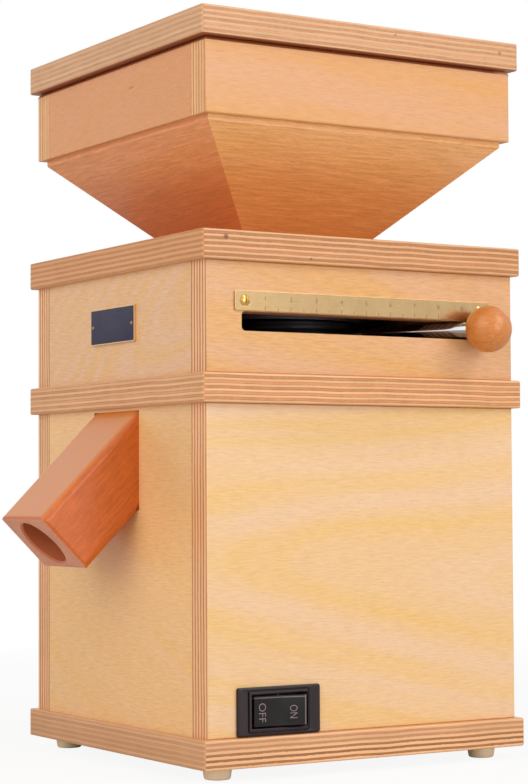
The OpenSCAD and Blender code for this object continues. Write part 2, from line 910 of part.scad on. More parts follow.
// Keyed by the guide pins, so it only rises and sinks as the ring turns
module stone_holder() {
  r = ring_bore_r - run_gap;
  seat_z = z_stone_face + stone_t;
  color("lightslategray") difference() {
    union() {
      translate([0, 0, z_stone_face + slip_gap]) cylinder(r = r, h = stone_t - slip_gap + holder_t);
      translate([0, 0, seat_z]) cylinder(r = neck_r + neck_wall, h = holder_t + neck_h);
    }
    translate([0, 0, z_stone_face - cut]) cylinder(r = stone_d / 2 + slip_gap, h = stone_t + cut);
    translate([0, 0, seat_z - cut]) cylinder(r = neck_r, h = holder_t + neck_h + 2 * cut);
    at_angles(3, pin_ring_r) translate([0, 0, seat_z - cut])
      cylinder(r = pin_d / 2 + run_gap, h = holder_t + 2 * cut);
  }
}

neck_h = 8;

module upper_stone() {
  color("linen") difference() {
    translate([0, 0, z_stone_face]) tube(stone_d / 2, eye_d / 2, stone_t);
    translate([0, 0, z_stone_face]) furrow_set(-1);
  }
}

module lower_stone() {
  color("linen") difference() {
    translate([0, 0, z_lower_face - stone_t]) tube(stone_d / 2, shaft_d / 2, stone_t);
    translate([0, 0, z_lower_face]) furrow_set(1);
  }
}

// Steel plate under the lower stone with blades that push the flour round to the spout
module stone_carrier() {
  blade_t = 2.5;
  blade_end = chamber_inner_r - 1.5;
  blade_low = z_upper + chamber_floor_t + 1;
  blade_top = z_lower_face - 1;
  color("gray") difference() {
    union() {
      translate([0, 0, z_carrier]) cylinder(r = carrier_r, h = carrier_t);
      translate([0, 0, blade_low]) cylinder(r = shaft_d / 2 + 6, h = z_carrier - blade_low);
      at_angles(sweepers, 0) translate([carrier_r - 2, 0, blade_low]) rotate([0, 0, -18])
        translate([0, -blade_t / 2, 0]) cube([blade_end - carrier_r, blade_t, blade_top - blade_low]);
      at_angles(sweepers, 0) translate([carrier_r - 4, -3, z_carrier]) cube([5, 6, carrier_t]);
    }
    translate([0, 0, z_upper]) cylinder(r = shaft_d / 2, h = upper_h);
    translate([0, 0, z_lower_face - stone_t]) cylinder(r = stone_d / 2 + slip_gap, h = stone_t + cut);
  }
}

// Cone nut that clamps the lower stone and parts the falling grain
module stone_nut() {
  color("silver") difference() {
    translate([0, 0, z_nut]) union() {
      cylinder(d = nut_w, h = nut_hex_h, $fn = 6);
      translate([0, 0, nut_hex_h]) cylinder(d1 = nut_w - 3, d2 = nut_tip_d, h = nut_h - nut_hex_h);
    }
    translate([0, 0, z_nut - cut]) cylinder(d = shaft_d, h = nut_depth + cut);
  }
}

// ---- motor ----

module motor_shaft() {
  bevel = 1;
  long = z_nut + nut_depth - z_shaft_low;
  color("silver") translate([0, 0, z_shaft_low]) union() {
    cylinder(d1 = shaft_d - 2 * bevel, d2 = shaft_d, h = bevel);
    translate([0, 0, bevel]) cylinder(d = shaft_d, h = long - bevel);
  }
}

module rotor_core() {
  r = stack_bore_r - air_gap;
  ring_t = 6;
  color("gray") difference() {
    union() {
      translate([0, 0, z_stack]) cylinder(r = r, h = stack_h);
      translate([0, 0, z_stack - ring_t]) cylinder(r = r - 2, h = stack_h + 2 * ring_t);
    }
    translate([0, 0, z_stack - ring_t - cut]) cylinder(d = shaft_d, h = stack_h + 2 * ring_t + 2 * cut);
  }
}

module cooling_fan() {
  hub_r = shaft_d / 2 + 5;
  disc_t = 2;
  blade_t = 1.8;
  color("whitesmoke") difference() {
    translate([0, 0, z_fan]) union() {
      cylinder(r = hub_r, h = fan_t);
      translate([0, 0, fan_t - disc_t]) cylinder(d = fan_d, h = disc_t);
      at_angles(fan_blades, hub_r - 1) translate([0, -blade_t / 2, 0])
        cube([fan_d / 2 - hub_r, blade_t, fan_t - disc_t / 2]);
    }
    translate([0, 0, z_fan - cut]) cylinder(d = shaft_d, h = fan_t + 2 * cut);
  }
}

module stator_stack() {
  slot_deep = 12;
  mouth_w = 2.4;
  color("darkgray") difference() {
    translate([0, 0, z_stack]) linear_extrude(stack_h) intersection() {
      circle(motor_r);
      square(motor_d * 0.93, center = true);
    }
    translate([0, 0, z_stack - cut]) cylinder(r = stack_bore_r, h = stack_h + 2 * cut);
    at_angles(stack_slots, 0) translate([stack_bore_r + 2, -stack_slot_w / 2, z_stack - cut])
      cube([slot_deep - 2, stack_slot_w, stack_h + 2 * cut]);
    at_angles(stack_slots, 0) translate([stack_bore_r - cut, -mouth_w / 2, z_stack - cut])
      cube([slot_deep / 3, mouth_w, stack_h + 2 * cut]);
    bolt_holes(z_stack - cut, stack_h + 2 * cut);
  }
}

module bolt_holes(z, h) {
  at_angles(4, bolt_ring_r, 45) translate([0, 0, z]) cylinder(d = bolt_d, h = h);
}

// The coil heads above and below the stack, joined by the wires in its slots
module stator_windings() {
  head_h = bell_h / 2;
  slot_gap = 0.5;
  head_in = stack_bore_r + 2.5;
  head_out = bolt_ring_r - bolt_d / 2 - bolt_wall - slot_gap;
  color("orangered") {
    for (z = [z_stack - head_h, z_stack + stack_h]) {
      translate([0, 0, z]) tube(head_out, head_in, head_h);
    }
    at_angles(stack_slots, head_in + slot_gap) translate([0, slot_gap - stack_slot_w / 2, z_stack])
      cube([head_out - head_in - 2 * slot_gap, stack_slot_w - 2 * slot_gap, stack_h]);
  }
}

// A cast end bell: rim, web with windows, and a hub round its bearing; up = true turns the web up
module end_bell(z, up) {
  rim_r = motor_r - 1;
  rim_wall = 6;
  hub_r = bearing_r + hub_wall;
  web_z = up ? bell_h - web_t : 0;
  window_w = 8;
  window_gap = 3;
  color("silver") difference() {
    translate([0, 0, z]) union() {
      tube(rim_r, rim_r - rim_wall, bell_h);
      translate([0, 0, web_z]) cylinder(r = rim_r - 1, h = web_t);
      translate([0, 0, up ? bell_h - bearing_w - 1 : 0]) cylinder(r = hub_r, h = bearing_w + 1);
      at_angles(4, bolt_ring_r, 45) cylinder(r = bolt_d / 2 + bolt_wall, h = bell_h);
    }
    translate([0, 0, z]) {
      translate([0, 0, up ? bell_h - bearing_w : -cut]) cylinder(r = bearing_r, h = bearing_w + cut);
      translate([0, 0, -cut]) cylinder(r = shaft_d / 2 + 2, h = bell_h + 2 * cut);
      at_angles(8, hub_r + window_gap, 22.5) translate([0, -window_w / 2, web_z - cut])
        cube([rim_r - rim_wall - hub_r - 2 * window_gap, window_w, web_t + 2 * cut]);
    }
    bolt_holes(z - cut, bell_h + 2 * cut);
  }
}

module motor_upper_bell() { end_bell(z_bell_up, true); }
module motor_lower_bell() { end_bell(z_bell_low, false); }

bolt_head_h = 4;
bolt_sink = 0.2;
bolt_head_d = 9;

// Long bolts from the middle plate down through pillars, bells and stack, with nuts below
module motor_bolts() {
  z_head = z_upper - bolt_head_h - bolt_sink;
  z_tail = z_bell_low - 5;
  color("silver") at_angles(4, bolt_ring_r, 45) union() {
    translate([0, 0, z_tail]) cylinder(d = bolt_d, h = z_head - z_tail);
    translate([0, 0, z_head]) cylinder(d = bolt_head_d, h = bolt_head_h);
    translate([0, 0, z_bell_low - 4]) cylinder(d = bolt_head_d, h = 4, $fn = 6);
  }
}

module motor_pillars() {
  color("silver") difference() {
    at_angles(4, bolt_ring_r, 45) translate([0, 0, z_motor_top])
      cylinder(d = pillar_d, h = z_mid - z_motor_top);
    bolt_holes(z_motor_top - cut, z_mid - z_motor_top + 2 * cut);
  }
}

module ball_bearings() {
  color("lightgray") for (z = bearing_levels) {
    translate([0, 0, z]) tube(bearing_r, bearing_r - race_t, bearing_w);
    at_angles(balls, ball_ring_r) translate([0, 0, z + bearing_w / 2]) sphere(d = ball_d);
  }
}

module bearing_inner_rings() {
  color("lightgray") for (z = bearing_levels) {
    translate([0, 0, z]) tube(shaft_d / 2 + race_t, shaft_d / 2, bearing_w);
  }
}

// ---- electrics ----

capacitor_d = 32;
capacitor_h = 58;
capacitor_stud_d = 8;
capacitor_stud_h = 10;

// In a back corner of the lower box, on the base plate
module capacitor_place() {
  inset = capacitor_d / 2 + 4;
  translate([-inner_half + inset, inner_half - inset, z_lower]) children();
}

module run_capacitor() {
  rim_h = 3;
  color("gainsboro") capacitor_place() union() {
    translate([0, 0, -capacitor_stud_h]) cylinder(d = capacitor_stud_d, h = capacitor_stud_h);
    cylinder(d = capacitor_d, h = capacitor_h);
    translate([0, 0, capacitor_h]) cylinder(d = capacitor_d - 3, h = rim_h);
    for (s = [-1, 1]) {
      translate([(s * capacitor_tab_x - tab_t) / 2, -tab_w / 2, capacitor_h + rim_h])
        cube([tab_t, tab_w, tab_out]);
    }
  }
}

module terminal_block() {
  ways = 3;
  way_w = 10;
  block_d = 18;
  block_h = 16;
  side_gap = 10;
  back_gap = 26;
  block_x = inner_half - side_gap - ways * way_w;
  block_y = inner_half - back_gap - block_d;
  color("ivory") translate([block_x, block_y, z_lower]) difference() {
    cube([ways * way_w, block_d, block_h]);
    for (i = [0 : ways - 1]) {
      translate([(i + 0.5) * way_w, -cut, 6]) rotate([-90, 0, 0]) cylinder(d = 4, h = block_d + 2 * cut);
      for (y = [5, block_d - 5]) {
        translate([(i + 0.5) * way_w, y, 8]) cylinder(d = 4.6, h = block_h);
      }
    }
  }
}

lid();
lid_locator();
hopper_front();
hopper_back();
hopper_left();
hopper_right();
funnel_front();
funnel_back();
funnel_left();
funnel_right();
top_plate();
upper_front();
upper_back();
upper_left();
upper_right();
mid_plate();
lower_front();
lower_back();
lower_left();
lower_right();
base_plate();
feet();
foot_screws();
base_screws();
spout();
name_plate();
name_plate_pins();
scale_strip();
scale_screws();
switch_housing();
switch_rocker();
switch_terminals();
cord_gland();
gland_nut();
chamber_wall();
chamber_floor();
feed_flange();
inner_screws();
guide_pins();
adjusting_ring();
lever_rod();
lever_knob();
stone_holder();
upper_stone();
lower_stone();
stone_carrier();
stone_nut();
motor_shaft();
rotor_core();
cooling_fan();
stator_stack();
stator_windings();
motor_upper_bell();
motor_lower_bell();
motor_bolts();
motor_pillars();
ball_bearings();
bearing_inner_rings();
run_capacitor();
terminal_block();
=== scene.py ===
import json
import math

import bmesh
import bpy
from bpy.props import FloatProperty, FloatVectorProperty, PointerProperty
from bpy.types import Operator, Panel, PropertyGroup
from mathutils import Matrix, Vector


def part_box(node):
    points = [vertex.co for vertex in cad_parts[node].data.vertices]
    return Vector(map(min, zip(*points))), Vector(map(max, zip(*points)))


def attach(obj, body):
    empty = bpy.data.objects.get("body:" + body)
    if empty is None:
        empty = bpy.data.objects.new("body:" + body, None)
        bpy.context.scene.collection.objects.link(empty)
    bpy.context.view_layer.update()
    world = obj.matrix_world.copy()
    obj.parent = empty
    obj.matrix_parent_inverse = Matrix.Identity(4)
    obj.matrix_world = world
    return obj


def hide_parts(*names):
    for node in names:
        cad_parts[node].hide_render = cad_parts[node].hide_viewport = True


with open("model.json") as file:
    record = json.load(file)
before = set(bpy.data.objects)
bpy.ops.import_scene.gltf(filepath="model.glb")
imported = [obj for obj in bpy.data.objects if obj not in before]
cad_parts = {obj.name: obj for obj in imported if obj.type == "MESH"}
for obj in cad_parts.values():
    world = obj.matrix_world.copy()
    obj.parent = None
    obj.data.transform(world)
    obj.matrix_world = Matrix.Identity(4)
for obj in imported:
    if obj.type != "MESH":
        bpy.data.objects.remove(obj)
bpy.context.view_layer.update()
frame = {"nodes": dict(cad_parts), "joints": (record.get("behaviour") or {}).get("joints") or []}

bl_info = {
    "name": "Electric grain mill",
    "version": (1, 0, 0),
    "blender": (4, 5, 0),
    "location": "3D View > Sidebar > Mill",
    "description": "Finishes, eased boards, scale and lettering for an electric grain mill",
    "category": "Object",
}

MM = 0.001
X, Y, Z = 0, 1, 2


def screen(red, green, blue):
    """A colour in screen values from 0 to 255, turned to the linear values of a shader."""
    return tuple(c / 3294.6 if c <= 10 else ((c / 255 + 0.055) / 1.055) ** 2.4 for c in (red, green, blue))


def toned(colour, gain, red=1.0, blue=1.0):
    """The colour made lighter or darker, with more or less red and blue in it."""
    return colour[0] * gain * red, colour[1] * gain, colour[2] * gain * blue


# ---- where things are, read from the frame ----

LOW, HIGH = 0, 1


def middle_of(box):
    """Middle of a box in metres."""
    return (box[LOW] + box[HIGH]) / 2


def size_of(box):
    """Size of a box in mm."""
    return (box[HIGH] - box[LOW]) / MM


LID, TOP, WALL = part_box("lid"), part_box("top_plate"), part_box("lower_right")
FUNNEL, KNOB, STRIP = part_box("funnel_left"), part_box("lever_knob"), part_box("scale_strip")
NAME, SWITCH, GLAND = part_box("name_plate"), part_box("switch_housing"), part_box("cord_gland")
EDGE = LID[HIGH].x
HALF, INNER_HALF = WALL[HIGH].x, WALL[LOW].x
BOARD_T = HALF - INNER_HALF
PLATE_T = TOP[HIGH].z - TOP[LOW].z
LEVER_Z = middle_of(KNOB).z
HALF_SWING = {
    joint["name"]: math.radians(joint["range_deg"][HIGH]) / 2
    for joint in frame["joints"] if "range_deg" in joint}
NEAR = 0.01 * MM


# ---- what a user would change ----


def length(name, description, default, low, high):
    """A length in metres that a user can change."""
    return FloatProperty(
        name=name, description=description, default=default, min=low, max=high, unit="LENGTH", precision=5)


def tint(name, description, red, green, blue):
    """A colour that a user can change; its default is given in screen values."""
    return FloatVectorProperty(
        name=name, description=description, default=screen(red, green, blue),
        min=0, max=1, size=3, subtype="COLOR")


class MillSizes(PropertyGroup):
    """Sizes of the details that the scene adds to the frame."""

    plate_arris: length(
        "Plate arris", "Rounding along the edges of the lid and the plates", 0.9 * MM, 0.1 * MM, 1.8 * MM)
    wall_arris: length("Wall arris", "Rounding of the boxes' upright corners", 0.8 * MM, 0.1 * MM, 2 * MM)
    digit_height: length("Digit height", "Height of the numbers on the scale", 2.2 * MM, 1 * MM, 4 * MM)
    tick_length: length("Tick length", "Length of the marks on the scale", 2 * MM, 0.5 * MM, 4 * MM)
    letter_height: length("Letter height", "Height of the words on the switch", 4 * MM, 2 * MM, 5 * MM)
    floor_reach: length("Floor reach", "Half the width of the floor", 6.0, 1.0, 20.0)


class MillColours(PropertyGroup):
    """Colours of the finishes."""

    lower_wall: tint("Lower walls", "Face veneer of the lower box", 235, 195, 145)
    upper_wall: tint("Upper walls", "Face veneer of the upper box", 223, 170, 117)
    hopper: tint("Hopper frame", "Face veneer of the hopper frame", 222, 164, 112)
    funnel: tint("Funnel", "Solid beech of the funnel", 243, 180, 117)
    spout: tint("Spout", "Solid beech of the spout", 208, 101, 26)
    # Paler colour painted as light on the spout's faces that look up
    spout_lit_top: tint("Spout top", "Faces of the spout that look up", 218, 138, 64)
    spout_end: tint("Spout end", "Sawn end of the spout", 211, 140, 107)
    knob: tint("Knob", "Turned beech of the lever's knob", 211, 130, 60)
    long_ply: tint("Long layers", "Plywood layers that run along the edge", 240, 186, 128)
    end_ply: tint("End layers", "Plywood layers cut across at the edge", 206, 139, 88)
    glue: tint("Glue lines", "Lines between the plywood layers", 132, 74, 44)
    brass: tint("Brass", "Scale strip, name plate and its pins", 197, 166, 121)
    field: tint("Name plate field", "Painted field of the name plate", 23, 21, 38)
    plastic: tint("Switch plastic", "Bezel and rocker of the switch", 34, 27, 29)
    print_grey: tint("Switch print", "Words on the rocker", 140, 126, 128)
    foot: tint("Feet", "Plastic of the feet", 255, 234, 202)
    stone: tint("Stones", "Bonded corundum of the millstones", 206, 196, 184)


# ---- shader kit ----


class Signal:
    """A value on its way from one node to the next. Arithmetic on it adds the nodes that work it out."""

    def __init__(self, wiring, socket):
        self.wiring = wiring
        self.socket = socket

    def maths(self, operation, first, second=0.0):
        return self.wiring.node("ShaderNodeMath", {"operation": operation}, {0: first, 1: second})

    def __add__(self, other):
        return self.maths("ADD", self, other)

    def __sub__(self, other):
        return self.maths("SUBTRACT", self, other)

    def __rsub__(self, other):
        return self.maths("SUBTRACT", other, self)

    def __mul__(self, other):
        return self.maths("MULTIPLY", self, other)

    def __truediv__(self, other):
        return self.maths("DIVIDE", self, other)

    def __gt__(self, other):
        return self.maths("GREATER_THAN", self, other)

    def __or__(self, other):
        """The greater of the two values."""
        return self.maths("MAXIMUM", self, other)

    def __abs__(self):
        return self.maths("ABSOLUTE", self)

    __radd__ = __add__
    __rmul__ = __mul__

    def floor(self):
        return self.maths("FLOOR", self)

    def sine(self):
        return self.maths("SINE", self)

    def root(self):
        return self.maths("SQRT", self)

    def rise(self, low, high):
        """0 at low, 1 at high and a smooth rise between them; low may be the greater of the two."""
        return self.wiring.node(
            "ShaderNodeMapRange", {"interpolation_type": "SMOOTHSTEP"},
            {"Value": self, "From Min": low, "From Max": high})

    def output(self, index):
        """Another output of the node that the signal comes from."""
        return Signal(self.wiring, self.socket.node.outputs[index])


class Wiring:
    """The nodes of a material or of the world, and the output that they end in."""

    def __init__(self, owner, output):
        self.owner = owner
        owner.use_nodes = True
        self.tree = owner.node_tree
        self.tree.nodes.clear()
        self.exit = self.tree.nodes.new(output).inputs[0]

    def node(self, kind, settings=None, inputs=None, output=0):
        """Adds a node, makes its settings, then fills its sockets with values or signals."""
        made = self.tree.nodes.new(kind)
        for name, value in (settings or {}).items():
            setattr(made, name, value)
        for key, value in (inputs or {}).items():
            socket = made.inputs[key]
            if isinstance(value, Signal):
                self.tree.links.new(value.socket, socket)
            elif socket.type == "RGBA":
                socket.default_value = (*value[:3], 1)
            else:
                socket.default_value = value
        return Signal(self, made.outputs[output])

    def blend(self, factor, first, second):
        """One shader passing into another at the output."""
        shader = self.node("ShaderNodeMixShader", {}, {0: factor, 1: first, 2: second})
        self.tree.links.new(shader.socket, self.exit)


class Finish(Wiring):
    """A material being made."""

    def __init__(self, name):
        super().__init__(bpy.data.materials.new(name), "ShaderNodeOutputMaterial")
        self.spot = self.node("ShaderNodeTexCoord", output="Object")
        place = self.node("ShaderNodeSeparateXYZ", {}, {0: self.spot})
        normal = self.node("ShaderNodeSeparateXYZ", {}, {0: self.spot.output("Normal")})
        self.place, self.normal = ([parts.output(axis) for axis in (X, Y, Z)] for parts in (place, normal))

    def vector(self, x, y, z):
        return self.node("ShaderNodeCombineXYZ", {}, {0: x, 1: y, 2: z})

    def noise(self, scale=1.0, detail=2.0, roughness=0.5, at=None):
        """Soft noise over the surface, or at another vector than its place."""
        return self.node(
            "ShaderNodeTexNoise", {},
            {"Vector": at or self.spot, "Scale": scale, "Detail": detail, "Roughness": roughness})

    def streaks(self, axis, along, across, detail=2.0, roughness=0.6):
        """Noise with one scale along an axis and another one across it."""
        place = [self.place[a] * (along if a == axis else across) for a in (X, Y, Z)]
        return self.noise(1.0, detail, roughness, self.vector(*place))

    def blotches(self, scale, seed=0.0, detail=2.0, roughness=0.5):
        """Noise that differs from seed to seed."""
        x, y, z = self.place
        return self.noise(1.0, detail, roughness, self.vector(x * scale, y * scale, z * scale + seed))

    def cells(self, scale):
        """Distance from the nearest of many scattered points."""
        return self.node("ShaderNodeTexVoronoi", {}, {"Vector": self.spot, "Scale": scale})

    def chance(self, number):
        """A number from 0 to 1 that is the same wherever the given one is."""
        return self.node("ShaderNodeTexWhiteNoise", {"noise_dimensions": "1D"}, {"W": number})

    def from_shaft(self):
        """Distance from the middle line of the shaft."""
        x, y, z = self.place
        return (x * x + y * y).root()

    def apart(self, point, radii):
        """Distance from a point, in radii that may differ from axis to axis."""
        offset = self.node("ShaderNodeVectorMath", {"operation": "SUBTRACT"}, {0: self.spot, 1: point})
        share = self.node("ShaderNodeVectorMath", {"operation": "DIVIDE"}, {0: offset, 1: radii})
        return self.node("ShaderNodeVectorMath", {"operation": "LENGTH"}, {0: share}, "Value")

    def mix(self, factor, first, second):
        """One colour passing into another."""
        return self.node("ShaderNodeMix", {"data_type": "RGBA"}, {0: factor, 6: first, 7: second}, 2)

    def surface(self, colour, roughness, height, relief, strength=0.5, **fixed):
        """Ends the finish in its shader, with a relief in mm. The fixed values are set on the shader's
        own sockets."""
        bump = self.node(
            "ShaderNodeBump", {}, {"Strength": strength, "Distance": relief * MM, "Height": height})
        inputs = {"Base Color": colour, "Roughness": roughness, "Normal": bump}
        for name, value in fixed.items():
            inputs[name.replace("_", " ").title().replace("Ior", "IOR")] = value
        shader = self.node("ShaderNodeBsdfPrincipled", {}, inputs)
        self.tree.links.new(shader.socket, self.exit)
        return self.owner


# ---- wood ----

# How a face is figured. The growth rings are arches round a heart line: where it lies (heart), how it
# leans and drifts, how blunt and tapered the arches are, and the pitch of the years in metres. Then
# come the strength of zones, stripes, hairlines and rays, and how pink or dark they are.
VENEER = dict(
    heart=0.02, lean=0.05, blunt=0.022, taper=0.15, pitch=0.026, phase=1.0, drift=0.024, waver=0.5, zones=0.5,
    rings=3.2, stripes=1.3, pink=1.22, dark=0.935, hair=0.48, hair_along=120, hair_across=1300, rays=0.16,
    ray_from=0.59)
BEECH = dict(
    heart=-0.10, lean=0.0, blunt=0.05, taper=0.03, pitch=0.012, phase=0.0, drift=0.03, waver=0.8, zones=0.25,
    rings=1.6, stripes=1.5, pink=1.12, dark=0.86, hair=0.95, hair_along=60, hair_across=900, rays=0.4,
    ray_from=0.57)
# How the cut edge of plywood looks: the share of each pair of layers that runs along the edge, how
# light those layers and the others are, the strength of the glue seams and three tints. calm softens
# and flush tints the edges across the face grain, faint softens the last layers of the other edges
# and the last one is the strength of painted shade on the faces that look down.
PLY = dict(
    share=0.44, light=1.0, dark=1.0, seams=0.35, red=1.0, rose=1.0, ash=1.0, calm=0.0, faint=0.0, flush=0.0,
    under=0.0)


def figured(finish, along, across, depth, base, look, seed):
    """Colour and relief of a wooden face: arches of the growth rings, stripes that follow them,
    fine hairlines and short rays."""
    drift = finish.noise(at=finish.vector(along * 4, across * 9 + seed, depth * 9)) - 0.5
    heart = across - look["heart"] + along * look["lean"] + drift * look["drift"]
    arch = (heart * heart + look["blunt"] ** 2).root() - along * look["taper"]
    year = arch / look["pitch"] + drift * look["waver"]
    zones = (year * (2 * math.pi) + look["phase"]).sine() * 0.5 + 0.5
    stripes = finish.noise(1, 3, 0.62, finish.vector(year * look["rings"], along * 6, seed))
    tone = zones * look["zones"] + (stripes - 0.5) * look["stripes"] + (0.5 - look["zones"] / 2)
    colour = finish.mix(tone, toned(base, 1.0, 0.99, look["pink"]), toned(base, look["dark"], 1.06, 0.72))
    fine = look["hair_across"]
    fibres = finish.vector(along * look["hair_along"], across * fine + seed, depth * fine)
    hair = finish.noise(1, 3, 0.6, fibres)
    colour = finish.mix(hair.rise(0.46, 0.78) * look["hair"], colour, toned(base, 0.74, 1.05, 0.82))
    colour = finish.mix(hair.rise(0.54, 0.22) * look["hair"], colour, toned(base, 1.16, 0.98, 1.02))
    rays = finish.noise(1, 1, at=finish.vector(along * 300, across * 1900, depth * 1900 + seed))
    rays = rays.rise(look["ray_from"], look["ray_from"] + 0.12)
    colour = finish.mix(rays * look["rays"], colour, toned(base, 0.6, 1.06, 0.72))
    return colour, hair * 0.8 + stripes * 0.3 - rays * 0.5


def ply_edge(finish, layers, grain, through, thickness, colours, ply, seed):
    """Colour and relief of the cut layers, where they are cut across, and their clumps. through is how
    deep a place lies below the first face."""
    sway = finish.blotches(30, seed, 1) - 0.5
    depth = through / (thickness / (5 + ply["share"])) + sway * 0.4
    pair = depth.floor()
    part = depth - pair
    frayed = finish.blotches(300, roughness=0.7) - 0.5
    crossing = (part - ply["share"] + frayed * 0.3).rise(-0.04, 0.04)
    middle_seam = abs(part - ply["share"]).rise(0.07, 0.01)
    outer_seam = (0.5 - abs(part - 0.5)).rise(0.06, 0.0)
    towards_grain = abs(finish.normal[grain]) > 0.6
    cut_across = crossing * (1 - 2 * towards_grain) + towards_grain
    shift = finish.chance(pair * 2 + (part > ply["share"]) + seed) - 0.5
    fibres = finish.streaks(layers, 2100, 30)
    pores = finish.streaks(layers, 1500, 420, roughness=0.65)
    broad, clumps = finish.blotches(22, seed), finish.blotches(120, seed)
    long_base = toned(colours.long_ply, ply["light"], ply["red"], ply["rose"])
    end_base = toned(colours.end_ply, ply["dark"], ply["red"], ply["ash"])
    long_colour = finish.mix(
        ((fibres - 0.5) * 0.9 + shift * 0.4 + broad).rise(0.1, 0.9),
        toned(long_base, 1.05), toned(long_base, 0.88, 1.02, 0.92))
    end_colour = finish.mix(
        ((pores - 0.5) * 1.1 + (clumps - 0.5) * 0.7 + (fibres - 0.5) * 1.4 + shift * 0.5 + 0.5).rise(0, 1),
        toned(end_base, 1.16), toned(end_base, 0.8, 1.03, 0.9))
    colour = finish.mix(cut_across, long_colour, end_colour)
    inner = through.rise(thickness * 0.4, thickness * 0.7)
    quiet = towards_grain * ply["calm"] + (1 - towards_grain) * ply["faint"] * inner
    colour = finish.mix(quiet, colour, finish.mix(0.45, long_colour, end_colour))
    colour = finish.mix(towards_grain * ply["flush"], colour, toned(end_base, 1.05, 1.12, 0.55))
    colour = finish.mix((middle_seam + outer_seam) * (0.3 + clumps) * ply["seams"], colour, colours.glue)
    relief = fibres * (1 - cut_across) * 0.5 + pores * cut_across * 0.8 - middle_seam * 0.4
    return colour, relief, cut_across, clumps


def multiplex(name, colours, layers, grain, start, thickness, base, look, seed,
              both=False, ply=PLY, marks=(), groove=None):
    """Plywood of eleven layers. layers is the axis through them and grain the one that the face grain
    follows; start is where the first layer begins, on both sides of the middle if both is set. marks
    are knots and patches of painted shade: a point, three radii and a strength. groove is the height
    from which a rounded upper edge is painted dark as the shade under the lid's overhang."""
    finish = Finish(name)
    place, normal = finish.place, finish.normal
    through = (abs(place[layers]) if both else place[layers]) - start
    edge, edge_relief, cut_across, clumps = ply_edge(
        finish, layers, grain, through, thickness, colours, ply, seed)
    face, face_relief = figured(
        finish, place[grain], place[X + Y + Z - layers - grain], place[layers], base, look, seed)
    on_face = abs(normal[layers]).rise(0.5, 0.7)
    colour = finish.mix(on_face, edge, face)
    # Knots, and patches of painted shade, darken the colour towards the glue's tone
    for point, radii, strength in marks:
        mark = finish.apart(point, radii).rise(1.0, 0.3)
        colour = finish.mix(mark * strength, colour, toned(colours.glue, 0.75))
    # Painted shade: the rounded upper edge under the lid's overhang is darkened, not on the flat top, fading
    # out towards the back
    if groove:
        reach = place[Z].rise(groove, groove + 0.6 * MM) * place[Y].rise(91 * MM, 85 * MM)
        painted_rim_shade = reach * normal[Z].rise(0.99, 0.93)
        colour = finish.mix(painted_rim_shade * 0.85, colour, toned(colours.glue, 0.5, 2.1, 0.7))
    # Painted shade: faces that look down are darkened
    if ply["under"]:
        shaded = normal[Z].rise(-0.3, -0.8) * ply["under"]
        colour = finish.mix(shaded, colour, toned(colours.glue, 0.6, 1.9, 0.7))
    height = edge_relief * (1 - on_face) + face_relief * on_face * 0.6
    roughness = 0.40 + on_face * -0.04 + cut_across * (1 - on_face) * 0.12 + (clumps - 0.5) * 0.12
    return finish.surface(
        colour, roughness, height, relief=0.06, coat_weight=0.12, coat_roughness=0.28)


def solid_beech(name, along, across, depth, base, seed, look=BEECH,
                foot=None, end=None, pale=None, bore=None):
    """Solid wood. along, across and depth give a place's three distances from its coordinates, and
    along also tells how far the surface looks along the grain. foot holds two heights and a colour
    of painted shade: the wood takes that colour from the second height down to the first. end is the
    colour of the sawn end, pale a lighter colour painted as light on the faces that look up, and bore
    gives the middle (across the grain) and the radius of a bored passage, whose wall takes a darker
    tone of the end's colour as painted shade."""
    finish = Finish(name)
    where = [distance(*finish.place) for distance in (along, across, depth)]
    colour, height = figured(finish, *where, base, look, seed)
    # Painted shade: the wood darkens towards the foot
    if foot:
        low, high, low_base = foot
        wavy = finish.place[Z] + (finish.noise(14, 1) - 0.5) * 0.02
        low_colour, height = figured(finish, *where, low_base, look, seed)
        colour = finish.mix(wavy.rise(high, low), colour, low_colour)
    pores = finish.noise(900, 2, 0.7)
    clumps = finish.noise(70, 1)
    end = end or toned(base, 0.9, 0.98, 1.2)
    open_pores = ((pores - 0.5) * 1.2 + clumps).rise(0.2, 0.9)
    ends = finish.mix(open_pores, toned(end, 1.1), toned(end, 0.82, 1.04, 0.9))
    # Painted light: faces that look up take the paler colour
    if pale:
        colour = finish.mix(finish.normal[Z].rise(0.45, 0.7) * (0.55 + clumps * 0.5), colour, pale)
    # Painted shade inside the bore: its wall takes a darker tone of the end colour
    if bore:
        middle, radius = bore
        off = where[1] - middle
        bore_shade = (off * off + where[2] * where[2]).root().rise(radius + 1.6 * MM, radius + 1.2 * MM)
        colour = finish.mix(bore_shade, colour, toned(end, 0.55, 1.5, 0.7))
    on_end = abs(along(*finish.normal)).rise(0.72, 0.95)
    return finish.surface(
        finish.mix(on_end, colour, ends), 0.36 + (clumps - 0.5) * 0.14 + on_end * 0.12,
        height * (1 - on_end) + pores * on_end, relief=0.05, coat_weight=0.18, coat_roughness=0.25)


# ---- metal, plastic and stone ----


